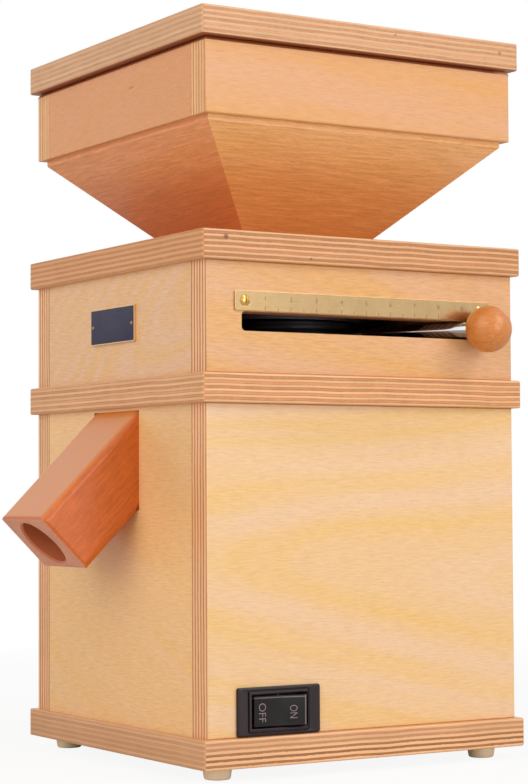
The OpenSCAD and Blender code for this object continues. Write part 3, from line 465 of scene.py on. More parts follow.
def brushed_metal(name, base, axis, roughness=0.2, patina=0.25, tarnish=None, bright=None):
    """Rolled or drawn metal with fine lines along one axis and a soft patina. bright is the colour of
    a painted highlight on its faces that look up."""
    finish = Finish(name)
    lines = finish.streaks(axis, 28, 3400)
    clouds = finish.streaks(axis, 110, 30, 3)
    spots = finish.noise(420).rise(0.62, 0.75)
    aged = clouds.rise(0.35, 0.7) * patina + spots * patina * 0.5
    colour = finish.mix(aged, base, tarnish or toned(base, 0.62))
    # Painted highlight on the faces that look up
    if bright:
        colour = finish.mix(finish.normal[Z].rise(0.25, 0.6), colour, bright)
    rough = roughness + (lines - 0.5) * 0.16 + (clouds - 0.5) * 0.16 + spots * 0.1
    return finish.surface(colour, rough, lines, relief=0.02, strength=0.35, metallic=1.0)


def turned_metal(name, base, roughness=0.25):
    """Metal turned about the shaft: fine rings round it, with a few darker bands."""
    finish = Finish(name)
    at = finish.vector(finish.from_shaft() * 2600, finish.place[Z] * 2600, 0.0)
    rings = finish.noise(1, 2, 0.6, at)
    clouds = finish.noise(90)
    colour = finish.mix(rings * 0.4 + clouds * 0.4, base, toned(base, 0.68))
    rough = roughness + (rings - 0.5) * 0.2 + (clouds - 0.5) * 0.1
    return finish.surface(colour, rough, rings, relief=0.03, metallic=1.0)


def threaded_steel(name, base, pitch=6 * MM):
    """Turned steel whose upright faces carry a thread."""
    finish = Finish(name)
    x, y, z = finish.place
    turn = finish.node("ShaderNodeMath", {"operation": "ARCTAN2"}, {0: y, 1: x})
    upright = (1 - abs(finish.normal[Z])).rise(0.6, 0.9)
    ridge = ((z * (2 * math.pi / pitch) - turn).sine() * 0.5 + 0.5) * upright
    clouds = finish.noise(130)
    return finish.surface(
        finish.mix(ridge * 0.5 + clouds * 0.3, base, toned(base, 0.55)), 0.28 + clouds * 0.16,
        ridge + clouds * 0.05, relief=0.4, strength=1.0, metallic=1.0)


def cast_metal(name, base):
    """Sand-cast aluminium: matt, with a fine grain and a few pits."""
    finish = Finish(name)
    sand = finish.noise(1300, 3, 0.7)
    pits = finish.cells(420).rise(0.12, 0.02)
    colour = finish.mix(finish.noise(60) * 0.5 + pits * 0.5, base, toned(base, 0.66))
    return finish.surface(colour, 0.46 + (sand - 0.5) * 0.3, sand - pits, relief=0.12, metallic=0.9)


def chromed(name, bright, dim):
    """Chrome with a thin film and a few specks."""
    finish = Finish(name)
    film = finish.noise(160)
    specks = finish.noise(1500, 1).rise(0.66, 0.74)
    return finish.surface(
        finish.mix(film * 0.6, bright, dim), 0.06 + film * 0.08 + specks * 0.15, film,
        relief=0.01, metallic=1.0)


def zinced(name, base):
    """Bright zinc with a yellowish cast and dull spots."""
    finish = Finish(name)
    spangle = finish.noise(520)
    colour = finish.mix(finish.noise(140) * 0.6, base, toned(base, 0.7, 1.04, 0.86))
    return finish.surface(colour, 0.3 + (spangle - 0.5) * 0.3, spangle, relief=0.02, metallic=1.0)


def laminated_steel(name, base, sheet=0.5 * MM):
    """A stack of thin steel sheets, seen as fine level lines."""
    finish = Finish(name)
    level = finish.place[Z] / sheet
    gap = (0.5 - abs(level - level.floor() - 0.5)).rise(0.18, 0.02)
    sheet_tint = finish.chance(level.floor())
    colour = finish.mix(sheet_tint * 0.35 + finish.noise(75, 3) * 0.4, base, toned(base, 0.6, 1.05))
    return finish.surface(
        finish.mix(gap * 0.6, colour, toned(base, 0.25)), 0.42 + sheet_tint * 0.15, 1 - gap,
        relief=0.06, metallic=0.9)


def wound_wire(name, base, wire=1.1 * MM):
    """Lacquered wire laid side by side round the shaft."""
    finish = Finish(name)
    row = (finish.from_shaft() + finish.place[Z]) / wire + finish.noise(160, 1) * 1.4
    crown = 1 - abs(row - row.floor() - 0.5) * 2
    lacquer = finish.mix(finish.chance(row.floor()), base, toned(base, 0.7))
    return finish.surface(
        finish.mix(crown.rise(0.0, 0.5), toned(base, 0.22), lacquer), 0.34 - crown * 0.08, crown.root(),
        relief=0.4, metallic=0.75, coat_weight=0.5)


def moulded(name, base, roughness=0.42, grain=2400, light=1.25, specular=0.5, highlight_bands=()):
    """Moulded plastic with the fine texture of its tool and lighter worn patches. The last list holds
    painted highlights along edges: the axis across each, where its band begins, how wide it is, and its
    colour."""
    finish = Finish(name)
    texture = finish.noise(grain, 2, 0.6)
    clouds = finish.noise(80)
    colour = finish.mix(clouds.rise(0.35, 0.75) * 0.7 + (texture - 0.5) * 0.5, base, toned(base, light))
    # Painted highlights: light bands along edges
    for axis, begin, width, worn in highlight_bands:
        band = (finish.place[axis] - (begin + width / 2)) / width
        colour = finish.mix(abs(band).rise(0.8, 0.3) * (0.3 + clouds), colour, worn)
    rough = roughness + (texture - 0.5) * 0.2 + (clouds - 0.5) * 0.12
    return finish.surface(colour, rough, texture, relief=0.03, specular_ior_level=specular)


def painted(name, base):
    """Dark paint with clouds, a fine sheen along the plate and light dust."""
    finish = Finish(name)
    sheen = finish.noise(at=finish.vector(finish.place[X] * 40, 0.0, finish.place[Z] * 2600))
    clouds = finish.noise(55)
    dust = finish.noise(1100, 1).rise(0.64, 0.72)
    colour = finish.mix(clouds * 0.6 + (sheen - 0.5) * 0.5, toned(base, 2.2), toned(base, 3.6))
    return finish.surface(
        finish.mix(dust * 0.12, colour, screen(130, 126, 140)), 0.42 + clouds * 0.2, sheen,
        relief=0.01, specular_ior_level=0.3)


def inked(name, ink, faded, grain, bare, share, rough, spread):
    """Thin ink that has faded in spots. bare is the noise from which it fades and share how far."""
    finish = Finish(name)
    worn = finish.noise(grain)
    colour = finish.mix(worn.rise(bare, bare + 0.3) * share, ink, faded)
    return finish.surface(colour, rough + worn * spread, worn, relief=0.01)


def bonded_stone(name, base):
    """Bonded grit: light and dark grains with open pores between them."""
    finish = Finish(name)
    grains = finish.cells(900)
    pores = finish.noise(700, 3, 0.7).rise(0.58, 0.7)
    colour = finish.mix(
        grains.rise(0.1, 0.75) * 0.6 + finish.chance(grains * 37) * 0.3, toned(base, 1.12), toned(base, 0.72))
    return finish.surface(
        finish.mix(pores * 0.6 + finish.noise(45) * 0.15, colour, toned(base, 0.42)), 0.86 - grains * 0.1,
        grains - pores * 1.5, relief=0.35, strength=0.9)


# ---- mesh kit ----


def added(name, data):
    """A new object of the scene."""
    made = bpy.data.objects.new(name, data)
    bpy.context.scene.collection.objects.link(made)
    return made


def placed(name, bm, material, stands_for=(), body="housing", sharp=30, weighted=False):
    """Makes a piece from a mesh, gives it its finish and joins it to its body."""
    bmesh.ops.recalc_face_normals(bm, faces=bm.faces)
    mesh = bpy.data.meshes.new(name)
    bm.to_mesh(mesh)
    bm.free()
    mesh.shade_smooth()
    mesh.set_sharp_from_angle(angle=math.radians(sharp))
    mesh.materials.append(material)
    piece = added(name, mesh)
    if weighted:
        piece.modifiers.new("Flat faces first", "WEIGHTED_NORMAL").keep_sharp = True
    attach(piece, body)
    if stands_for:
        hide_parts(*stands_for)


def dress(material, *nodes):
    """Gives nodes of the frame their finish."""
    for node in nodes:
        for slot in frame["nodes"][node].material_slots:
            slot.material = material


def clean_copy(node):
    """A copy of a node's mesh, joined up, with each flat face in one piece."""
    bm = bmesh.new()
    bm.from_mesh(frame["nodes"][node].data)
    bmesh.ops.remove_doubles(bm, verts=bm.verts, dist=0.1 * NEAR)
    bmesh.ops.dissolve_limit(bm, angle_limit=math.radians(0.5), verts=bm.verts, edges=bm.edges)
    return bm


def ease(bm, width, chosen, segments=3, sharp=0.5):
    """Rounds the edges that are sharper than an angle and whose two ends pass the test."""
    edges = [
        e for e in bm.edges
        if len(e.link_faces) == 2 and e.calc_face_angle(0) > sharp and all(chosen(v.co) for v in e.verts)]
    bmesh.ops.bevel(
        bm, geom=edges, offset=width, offset_type="OFFSET", segments=segments, profile=0.5,
        affect="EDGES", clamp_overlap=True)
    return bm


def at_corner(v):
    """Whether a point of a box wall lies on one of the box's upright corners."""
    return min(abs(v.x), abs(v.y)) > HALF - NEAR


def eased_board(node, width, chosen, material, body="housing"):
    bm = ease(clean_copy(node), width, chosen)
    placed(node + "_eased", bm, material, [node], body, weighted=True)


def box_walls(box, way, base, look, seed, slot, **more):
    """Plywood for the side walls of a box, whose upright corners are eased, or for its cross walls."""
    scene = bpy.context.scene
    layers, grain = (X, Y) if way == "side" else (Y, X)
    wood = multiplex(
        f"{box}_{way}_plywood", scene.mill_colours, layers, grain, INNER_HALF, BOARD_T, base, look, seed,
        both=True, **more)
    if way == "cross":
        dress(wood, box + "_front", box + "_back")
        return
    for node in (box + "_left", box + "_right"):
        eased_board(node, scene.mill_sizes.wall_arris, at_corner, wood)


def turned(profile, seats, around=96, shape=None):
    """Turns a profile of (radius, height) in mm about the z axis of each seat; shape may change a
    radius by its height and angle."""
    bm = bmesh.new()
    for seat in seats:
        rings = []
        for radius, height in profile:
            ring = []
            for step in range(around if radius > 0 else 1):
                angle = 2 * math.pi * step / around
                r = shape(radius, height, angle) if shape and radius > 0 else radius
                point = Vector((r * math.cos(angle), r * math.sin(angle), height)) * MM
                ring.append(bm.verts.new(seat @ point))
            rings.append(ring)
        for low, high in zip(rings, rings[1:]):
            for step in range(around):
                after = (step + 1) % around
                corners = [low[step % len(low)], low[after % len(low)],
                           high[after % len(high)], high[step % len(high)]]
                unique = [v for i, v in enumerate(corners) if v not in corners[:i]]
                if len(unique) > 2:
                    bm.faces.new(unique)
    return bm


def rounded_loop(width, height, radius, middle_x, level, seat, corner=8):
    """Points round a rectangle with round corners, at a level of the seat. All sizes are in mm."""
    points = []
    for quarter, (sx, sy) in enumerate(((1, 1), (-1, 1), (-1, -1), (1, -1))):
        for step in range(corner + 1):
            angle = math.pi / 2 * (quarter + step / corner)
            points.append(seat @ (MM * Vector((
                middle_x + sx * (width / 2 - radius) + radius * math.cos(angle),
                sy * (height / 2 - radius) + radius * math.sin(angle), level))))
    return points


def loops(size, middle_x, seat, rows):
    """Loops of one rectangle: how much larger each is, its corner radius and its level, in mm."""
    wide, tall = size
    return [
        rounded_loop(wide + more, tall + more, radius, middle_x, level, seat)
        for more, radius, level in rows]


def lofted(bm, outlines, cap_first=False, cap_last=False):
    """Skins a row of outlines that have the same number of points."""
    rings = [[bm.verts.new(point) for point in outline] for outline in outlines]
    for low, high in zip(rings, rings[1:]):
        for step in range(len(low)):
            after = (step + 1) % len(low)
            bm.faces.new((low[step], low[after], high[after], high[step]))
    if cap_first:
        bm.faces.new(reversed(rings[0]))
    if cap_last:
        bm.faces.new(rings[-1])


def lettered(bm, marks, height, depth):
    """Adds raised words. Each mark is its text and a matrix: x along the word, y up its letters and z
    out of the face."""
    for text, seat in marks:
        curve = bpy.data.curves.new("lettering", "FONT")
        curve.body = text
        curve.align_x = curve.align_y = "CENTER"
        curve.resolution_u = 5
        curve.extrude = 0.5
        curve.offset = -0.012
        holder = added("lettering", curve)
        graph = bpy.context.evaluated_depsgraph_get()
        mesh = bpy.data.meshes.new_from_object(holder.evaluated_get(graph))
        low, high = (
            [limit(v.co[axis] for v in mesh.vertices) for axis in (X, Y)] for limit in (min, max))
        scale = height / (high[Y] - low[Y])
        middle = Matrix.Translation((-(high[X] + low[X]) / 2, -(high[Y] + low[Y]) / 2, 0))
        mesh.transform(seat @ Matrix.Diagonal((scale, scale, depth, 1)) @ middle)
        bm.from_mesh(mesh)
        bpy.data.objects.remove(holder)
        bpy.data.curves.remove(curve)
        bpy.data.meshes.remove(mesh)
    return bm


def facing(x_axis, y_axis, origin):
    """Matrix of a face with those two directions in it; its z looks out of the face."""
    x_axis, y_axis = Vector(x_axis).normalized(), Vector(y_axis).normalized()
    out = x_axis.cross(y_axis)
    return Matrix.Translation(origin) @ Matrix((x_axis, y_axis, out)).transposed().to_4x4()


# ---- the pieces ----


class MILL_OT_boards(Operator):
    """Lid, its locating board and the three plates: plywood with eased edges"""

    bl_idname = "mill.boards"
    bl_label = "Lid and plates"

    def execute(self, context):
        colours, sizes = context.scene.mill_colours, context.scene.mill_sizes
        rim = EDGE - 2.2 * MM
        speck = (1.1 * MM, 1.1 * MM, 0.9 * MM)
        lid_z, top_z = LID[HIGH].z, TOP[HIGH].z
        knots = {
            "lid": [
                ((EDGE, 18 * MM, lid_z - 3.8 * MM), speck, 0.6),
                ((EDGE, 87.2 * MM, lid_z - 6.3 * MM), (1.7 * MM,) * 3, 0.5)],
            "top_plate": [
                ((EDGE, -86.6 * MM, top_z - 3.8 * MM), (1.9 * MM,) * 3, 0.9),
                ((EDGE, -36 * MM, top_z - 12.6 * MM), speck, 0.8)],
        }
        plies = {
            # The lid's underside gets painted shade
            "lid": dict(
                light=0.85, dark=1.09, seams=0.2, red=0.92, rose=1.24, ash=1.24, calm=0.3, under=0.8),
            "top_plate": dict(share=0.42, light=0.83, dark=0.8, red=1.03, rose=1.14, ash=0.93, flush=0.45),
            "mid_plate": dict(share=0.46, light=0.95, dark=0.98, seams=0.8, rose=1.1, ash=1.02, calm=0.4),
            "base_plate": dict(share=0.55, light=1.06, dark=0.6, rose=1.26, ash=0.84, calm=0.8, faint=0.5),
        }
        veneer = toned(colours.upper_wall, 0.98)
        for number, (node, ply) in enumerate(plies.items()):
            wood = multiplex(
                node + "_plywood", colours, Z, Y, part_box(node)[LOW].z, PLATE_T, veneer, VENEER,
                seed=number * 3.7 + 1, ply={**PLY, **ply}, marks=knots.get(node, ()))
            eased_board(
                node, sizes.plate_arris, lambda v: max(abs(v.x), abs(v.y)) > rim, wood,
                "lid" if node == "lid" else "housing")
        low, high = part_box("lid_locator")
        locator = multiplex(
            "locator_plywood", colours, Z, X, low.z, high.z - low.z, colours.lower_wall, VENEER, seed=5.5)
        dress(locator, "lid_locator")
        return {"FINISHED"}


class MILL_OT_hopper(Operator):
    """Hopper frame of plywood and the funnel of solid beech"""

    bl_idname = "mill.hopper"
    bl_label = "Hopper and funnel"

    def execute(self, context):
        colours = context.scene.mill_colours
        # From this height up, the hopper's rounded upper edge is painted dark as shade under the lid
        rim = LID[LOW].z - 2.4 * MM
        mark = ((17.5 * MM, -HALF, LID[LOW].z - 14.3 * MM), (4.5 * MM, 1 * MM, 0.8 * MM), 0.45)
        box_walls(
            "hopper", "side", colours.hopper,
            dict(VENEER, heart=0.306, lean=0.2, pitch=0.03, zones=0.6, stripes=2.2),
            seed=11.2, slot="hopper_beech", groove=rim)
        box_walls(
            "hopper", "cross", toned(colours.hopper, 0.83, 1.18, 0.84), dict(VENEER, heart=0.34, zones=0.2),
            seed=14.9, slot="hopper_beech", marks=[mark], groove=rim)

        # Painted shade: the funnel's slopes darken towards their foot
        foot, brow = FUNNEL[LOW].z + 24 * MM, FUNNEL[HIGH].z
        foot_shade = toned(colours.funnel, 0.70, 1.2, 0.85)
        slopes = solid_beech(
            "funnel_side_beech", lambda x, y, z: y, lambda x, y, z: z, lambda x, y, z: abs(x),
            colours.funnel, seed=21.3, foot=(foot, brow - 1 * MM, foot_shade))
        dress(slopes, "funnel_left", "funnel_right")
        cross_slopes = solid_beech(
            "funnel_cross_beech", lambda x, y, z: x, lambda x, y, z: z, lambda x, y, z: abs(y),
            toned(colours.funnel, 0.75, 1.31, 0.93), seed=25.8,
            foot=(foot, brow - 9 * MM, toned(foot_shade, 0.65, 1.4, 0.94)))
        dress(cross_slopes, "funnel_front", "funnel_back")
        return {"FINISHED"}


class MILL_OT_case(Operator):
    """Walls of the upper and the lower box"""

    bl_idname = "mill.case"
    bl_label = "Case walls"

    def execute(self, context):
        upper, lower = context.scene.mill_colours.upper_wall, context.scene.mill_colours.lower_wall
        wall_z = WALL[HIGH].z
        # Painted shade under the mid plate, at the top of the lower walls
        side_shade = ((HALF, 0, wall_z - 2 * MM), (5 * MM, 130 * MM, 34 * MM), 0.08)
        cross_shade = ((70 * MM, -HALF, wall_z - 19 * MM), (52 * MM, 5 * MM, 60 * MM), 0.13)
        case = dict(
            slot="case_panel", ply=dict(PLY, share=0.38, light=1.02, dark=0.76, rose=1.16, ash=0.9, red=1.03))
        box_walls(
            "upper", "side", upper, dict(VENEER, heart=0.262, lean=0.04, zones=0.6, stripes=2.8, hair=0.75),
            seed=31.4, **case)
        box_walls(
            "upper", "cross", toned(upper, 1.16, 0.92, 1.22),
            dict(VENEER, heart=0.205, lean=-0.5, taper=0.3, pitch=0.012, pink=1.06, stripes=2.6, zones=0.8,
                 hair=0.62),
            seed=34.7, **case)
        box_walls(
            "lower", "side", lower, dict(VENEER, heart=0.104, stripes=2.0),
            seed=38.6, marks=[side_shade], **case)
        box_walls(
            "lower", "cross", toned(lower, 1.0, 1.08, 0.93),
            dict(VENEER, heart=0.16, lean=0.3, pink=1.04, pitch=0.034, zones=0.2, drift=0.05, hair=0.55),
            seed=41.9, marks=[cross_shade], **case)
        return {"FINISHED"}


class MILL_OT_spout(Operator):
    """Slanted spout of solid beech, its grain along the bore"""

    bl_idname = "mill.spout"
    bl_label = "Spout"

    def execute(self, context):
        colours = context.scene.mill_colours
        slope = math.sqrt(0.5)
        bore_z = 160.98 * MM  # where the bore's middle line leaves the wall
        # The spout's faces that look up take a paler colour as painted light, and its bore's wall a darker
        # tone as painted shade
        wood = solid_beech(
            "spout_beech", lambda x, y, z: (y + z) * slope, lambda x, y, z: (z - y) * slope,
            lambda x, y, z: x, colours.spout, seed=47.1,
            look=dict(BEECH, hair_along=90, hair_across=1000, hair=1.05, stripes=1.9, rays=0.45),
            end=colours.spout_end, pale=colours.spout_lit_top, bore=((bore_z + HALF) * slope, 14.6 * MM))
        dress(wood, "spout")
        return {"FINISHED"}


class MILL_OT_lever(Operator):
    """Adjusting ring, chrome rod and turned knob"""

    bl_idname = "mill.lever"
    bl_label = "Lever"

    def execute(self, context):
        ball, bore, flat = 12.5, 4.03, -10.9
        rest = HALF_SWING["lever_turn"]
        outermost = max(math.hypot(v.co.x, v.co.y) for v in frame["nodes"]["lever_knob"].data.vertices)
        seat = (
            Matrix.Translation((0, 0, LEVER_Z)) @ Matrix.Rotation(rest, 4, "Z")
            @ Matrix.Rotation(math.pi / 2, 4, "Y") @ Matrix.Translation((0, 0, outermost - ball * MM)))
        rim = math.asin(-flat / ball)
        face = ball * math.cos(rim)
        profile = [(bore, flat + 6), (bore, flat + 0.5), (bore + 0.4, flat + 0.08), (face - 0.9, flat),
                   (face - 0.2, flat + 0.15)]
        steps = 44
        for step in range(1, steps):
            angle = -rim + (rim + math.pi / 2) * step / steps
            profile.append((ball * math.cos(angle), ball * math.sin(angle)))
        profile.append((0, ball))
        right, ahead = math.cos(rest), math.sin(rest)
        wood = solid_beech(
            "knob_beech", lambda x, y, z: x * right + y * ahead, lambda x, y, z: y * right - x * ahead,
            lambda x, y, z: z, context.scene.mill_colours.knob, seed=52.6)
        placed("turned_knob", turned(profile, [seat]), wood, ["lever_knob"], "lever", sharp=40)
        dress(chromed("chrome", screen(176, 176, 180), screen(96, 94, 98)), "lever_rod")
        # Dark steel, kept near black also as painted shade inside the lever's slot
        dress(threaded_steel("threaded_ring_steel", screen(44, 42, 44)), "adjusting_ring")
        return {"FINISHED"}


class MILL_OT_scale(Operator):
    """Brass scale strip with its marks, numbers and screws"""

    bl_idname = "mill.scale"
    bl_label = "Scale"

    def execute(self, context):
        colours, sizes = context.scene.mill_colours, context.scene.mill_sizes
        # The strip's upper faces carry a painted highlight
        brass = brushed_metal(
            "strip_brass", colours.brass, Y, roughness=0.24, patina=0.4, tarnish=screen(164, 132, 84),
            bright=screen(252, 240, 200))
        face, foot = STRIP[HIGH].x, STRIP[LOW].z
        bm = ease(clean_copy("scale_strip"), 0.45 * MM, lambda v: v.x > face - NEAR, 2)
        placed("brass_strip", bm, brass, ["scale_strip"], weighted=True)
        screws = brushed_metal("screw_brass", screen(222, 178, 104), Z, roughness=0.16, patina=0.3)
        dress(screws, "scale_screws")

        last, pitch = 16, 7.75 * MM
        thick, wide, inset = 0.05 * MM, 0.26 * MM, 0.35 * MM
        digit_z = STRIP[HIGH].z - 3.6 * MM
        digits, ticks = [], bmesh.new()
        for step in range(last + 1):
            y = (step - last / 2) * pitch
            tall = sizes.tick_length * (0.75 if step % 2 else 1.0)
            middle = Matrix.Translation((face, y, foot + inset + tall / 2))
            bmesh.ops.create_cube(ticks, size=1, matrix=middle @ Matrix.Diagonal((thick, wide, tall, 1)))
            if step % 2 == 0:
                digits.append((str(step // 2 + 1), facing((0, 1, 0), (0, 0, 1), (face, y, digit_z))))
        enamel = inked(
            "scale_enamel", screen(84, 66, 40), screen(150, 124, 82), grain=1600, bare=0.4, share=0.7,
            rough=0.45, spread=0.2)
        placed("scale_marks", lettered(ticks, digits, sizes.digit_height, thick), enamel)
        return {"FINISHED"}


class MILL_OT_name_plate(Operator):
    """Bare name plate: a painted field on brass, held by two pins"""

    bl_idname = "mill.name_plate"
    bl_label = "Name plate"

    def execute(self, context):
        colours = context.scene.mill_colours
        face = NAME[LOW].y
        pale_brass = toned(colours.brass, 1.45, 1.0, 1.1)
        metal = brushed_metal("plate_brass", pale_brass, X, roughness=0.42, patina=0.2)
        bm = ease(clean_copy("name_plate"), 0.2 * MM, lambda v: v.y < face + NEAR, 2)
        placed("name_plate_metal", bm, metal, ["name_plate"], weighted=True)
        middle, size = middle_of(NAME), size_of(NAME)
        seat = facing((1, 0, 0), (0, 0, 1), (middle.x, face, middle.z))
        rows = ((-1.1, 0.7, -0.02), (-1.1, 0.7, 0.03), (-1.3, 0.7, 0.06))
        field = bmesh.new()
        lofted(field, loops((size.x, size.z), 0, seat, rows), cap_last=True)
        placed("name_field", field, painted("field_paint", colours.field))
        pins = brushed_metal("pin_brass", toned(colours.brass, 0.5), Z, roughness=0.3, patina=0.3)
        dress(pins, "name_plate_pins")
        return {"FINISHED"}


class MILL_OT_switch(Operator):
    """Rocker switch: bezel with a groove and a raised frame, glossy rocker and its two words"""

    bl_idname = "mill.switch"
    bl_label = "Switch"

    def execute(self, context):
        colours, sizes = context.scene.mill_colours, context.scene.mill_sizes
        middle = middle_of(SWITCH)
        seat = facing((0, 1, 0), (0, 0, 1), (HALF, middle.y, middle.z))
        plastic = moulded("bezel_plastic", toned(colours.plastic, 1.0, 1.25, 1.1), grain=3200, specular=0.3)
        bezel = self.bezel(seat, size_of(SWITCH))
        placed("switch_bezel", bezel, plastic, ["switch_housing"], sharp=35)

        shift, reach, width, short = 0.5, 14.9, 15.2, 0.93
        tilt = Matrix.Rotation(-HALF_SWING["rocker_tilt"], 4, "Y")
        pivot = seat @ Matrix.Translation((shift * MM, 0, 0)) @ tilt
        peak, dip, bow = 3.5, 1.4, 1.35

        def crown(x):
            return peak - dip * (1 - (abs(x) / reach) ** bow)

        # Painted highlights along the rocker's top edge and its ON end
        top_highlight = (Z, middle.z + (width / 2 - 1.2) * MM, 0.6 * MM, screen(112, 100, 102))
        end_highlight = (Y, middle.y + (shift + reach * short - 1.2) * MM, 0.6 * MM, screen(136, 124, 126))
        gloss = moulded(
            "rocker_plastic", toned(colours.plastic, 0.42), roughness=0.2, grain=900, light=1.5,
            specular=0.3, highlight_bands=[top_highlight, end_highlight])
        paddle = self.paddle(crown, reach, width, short)
        bmesh.ops.transform(paddle, matrix=pivot, verts=paddle.verts)
        placed("switch_paddle", paddle, gloss, ["switch_rocker"], "rocker", sharp=45)

        words = []
        for text, x, y, squeeze in (("OFF", -10.2, -0.7, 0.96), ("ON", 7.2, -0.8, 0.76)):
            slope = (crown(x + 0.1) - crown(x - 0.1)) / 0.2
            upright = facing((0, -1, 0), (1, 0, slope), Vector((x, y, crown(x) + 0.03)) * MM)
            words.append((text, pivot @ upright @ Matrix.Diagonal((squeeze, 1, 1, 1))))
        grey = colours.print_grey
        ink = inked(
            "switch_print", grey, toned(grey, 0.6), grain=1500, bare=0.45, share=1.0, rough=0.5, spread=0.1)
        raised = lettered(bmesh.new(), words, sizes.letter_height, 0.06 * MM)
        placed("switch_words", raised, ink, body="rocker")
        dress(brushed_metal("tinned_steel", screen(196, 196, 200), X, roughness=0.3), "switch_terminals")
        return {"FINISHED"}

    def bezel(self, seat, size):
        """Flange, groove, raised frame and the well of the rocker, and the body behind the wall."""
        flange, rise, back = 1.8, (SWITCH[HIGH].x - HALF) / MM, (SWITCH[LOW].x - HALF) / MM
        frame_size, frame_x, well_size, well_x = (35.2, 20.4), -0.4, (33, 17), 0.1
        flange_rows = (
            (-0.4, 1.0, 0), (0, 1.2, 0.2), (0, 1.2, flange - 0.7), (-0.3, 1.1, flange - 0.25),
            (-1.0, 0.9, flange))
        frame_rows = (
            (1.5, 1.3, flange), (1.1, 1.2, flange - 0.15), (0.9, 1.1, flange - 0.7), (0.1, 0.9, flange - 0.7),
            (0, 0.8, flange - 0.5), (0, 0.8, rise - 0.4), (-0.25, 0.75, rise - 0.1), (-0.8, 0.7, rise))
        well_rows = ((0.9, 0.8, rise), (0.2, 0.6, rise - 0.3), (0, 0.6, rise - 0.8), (0, 0.6, -6))
        body_rows = ((-0.4, 0.6, back), (0, 0.8, back + 0.4), (0, 0.8, 0.1))
        bm = bmesh.new()
        lofted(bm, (
            loops((size.y, size.z), 0, seat, flange_rows) + loops(frame_size, frame_x, seat, frame_rows)
            + loops(well_size, well_x, seat, well_rows)), cap_last=True)
        lofted(bm, loops((size.y - 4, size.z - 3), 0, seat, body_rows), cap_first=True)
        return bm

    def paddle(self, crown, reach, width, short):
        """The rocker: a bar with a hollow crown, its upper edges eased, and its pin. short is the share
        of the reach that its ON end has. All sizes are in mm."""
        halves, side, deep, heel = 24, 15.3, 4.2, 5.4
        along = [reach * (i / halves - 1) * (short if i > halves else 1) for i in range(2 * halves + 1)]
        outline = [(x, crown(x)) for x in along] + [
            (side * short, 0.6), (side * short, -1.4), (heel, -deep), (-heel, -deep), (-side, -1.4),
            (-side, 0.6)]
        bm = bmesh.new()
        first, last = (
            [bm.verts.new(MM * Vector((x, y, z))) for x, z in outline] for y in (-width / 2, width / 2))
        bm.faces.new(first)
        bm.faces.new(reversed(last))
        for i in range(len(outline)):
            j = (i + 1) % len(outline)
            bm.faces.new((first[j], first[i], last[i], last[j]))
        ease(bm, 0.8 * MM, lambda v: v.z > -1 * MM, 4)
        pin_r, pin_length = 1.2 * MM, 16.4 * MM
        bmesh.ops.create_cone(
            bm, cap_ends=True, segments=48, radius1=pin_r, radius2=pin_r, depth=pin_length,
            matrix=Matrix.Translation((0, 0, -pin_r)) @ Matrix.Rotation(math.pi / 2, 4, "X"))
        return bm


class MILL_OT_feet(Operator):
    """Four moulded feet and the wood screws of the base"""

    bl_idname = "mill.feet"
    bl_label = "Feet and screws"

    def execute(self, context):
        low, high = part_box("feet")
        top_r, bore, height = 7.75, 1.8, high.z / MM
        profile = (
            (bore, 2.0), (3.0, 2.0), (3.05, 0.4), (3.35, 0.05), (3.7, 0), (5.6, 0), (6.2, 0.12), (6.6, 0.45),
            (6.82, 1.0), (7.66, 5.9), (7.7, 6.25), (top_r - 0.15, height), (bore, height))
        inset = top_r * MM
        seats = [
            Matrix.Translation((x, y, 0))
            for x in (low.x + inset, high.x - inset) for y in (low.y + inset, high.y - inset)]
        plastic = moulded(
            "foot_plastic", context.scene.mill_colours.foot, roughness=0.5, grain=1800, light=0.86)
        placed("moulded_feet", turned(profile, seats, 64), plastic, ["feet"], sharp=40)
        zinc = zinced("zinced_steel", screen(196, 198, 200))
        dress(zinc, "foot_screws", "base_screws", "inner_screws", "motor_bolts")
        return {"FINISHED"}


class MILL_OT_cord_inlet(Operator):
    """Cord gland with a fluted collar and a threaded shank, and its nut"""

    bl_idname = "mill.cord_inlet"
    bl_label = "Cord inlet"

    def execute(self, context):
        black = toned(context.scene.mill_colours.plastic, 0.8)
        nylon = moulded("gland_nylon", black, roughness=0.38, grain=2600)
        middle = middle_of(GLAND)
        seat = facing((1, 0, 0), (0, 0, -1), (middle.x, HALF, middle.z))
        bore, shank_r, collar_r, collar_t = 3.6, 8, 12, 4
        flutes, pitch, step = 24, 1.5, 0.25

        def fluted(radius, level, angle):
            if radius > collar_r - 1 and 0.3 < level < collar_t - 0.3:
                return radius - 0.5 * max(0.0, math.cos(angle * flutes)) ** 2
            if level < -1 and radius > shank_r - 1:
                turn = (level / pitch - angle / (2 * math.pi)) % 1
                return radius - 0.7 * abs(turn * 2 - 1)
            return radius

        profile = [(bore, -23.9), (shank_r - 0.4, -23.9)]
        profile += [(shank_r, -23.6 + step * i) for i in range(91)]
        profile += [
            (shank_r, 0), (collar_r - 0.3, 0), (collar_r, 0.35), (collar_r, 2), (collar_r, 3.6),
            (collar_r - 0.4, collar_t), (8.2, collar_t), (7.9, 4.4), (7.4, 6), (6.8, 9.2), (6.2, 10.6),
            (5.4, 11), (4.3, 11), (3.8, 10.6), (bore, 9.8), (bore, -23.9)]
        bm = turned(profile, [seat], around=144, shape=fluted)
        bmesh.ops.remove_doubles(bm, verts=bm.verts, dist=0.1 * NEAR)
        placed("fluted_gland", bm, nylon, ["cord_gland"], sharp=35)
        dress(nylon, "gland_nut")
        return {"FINISHED"}


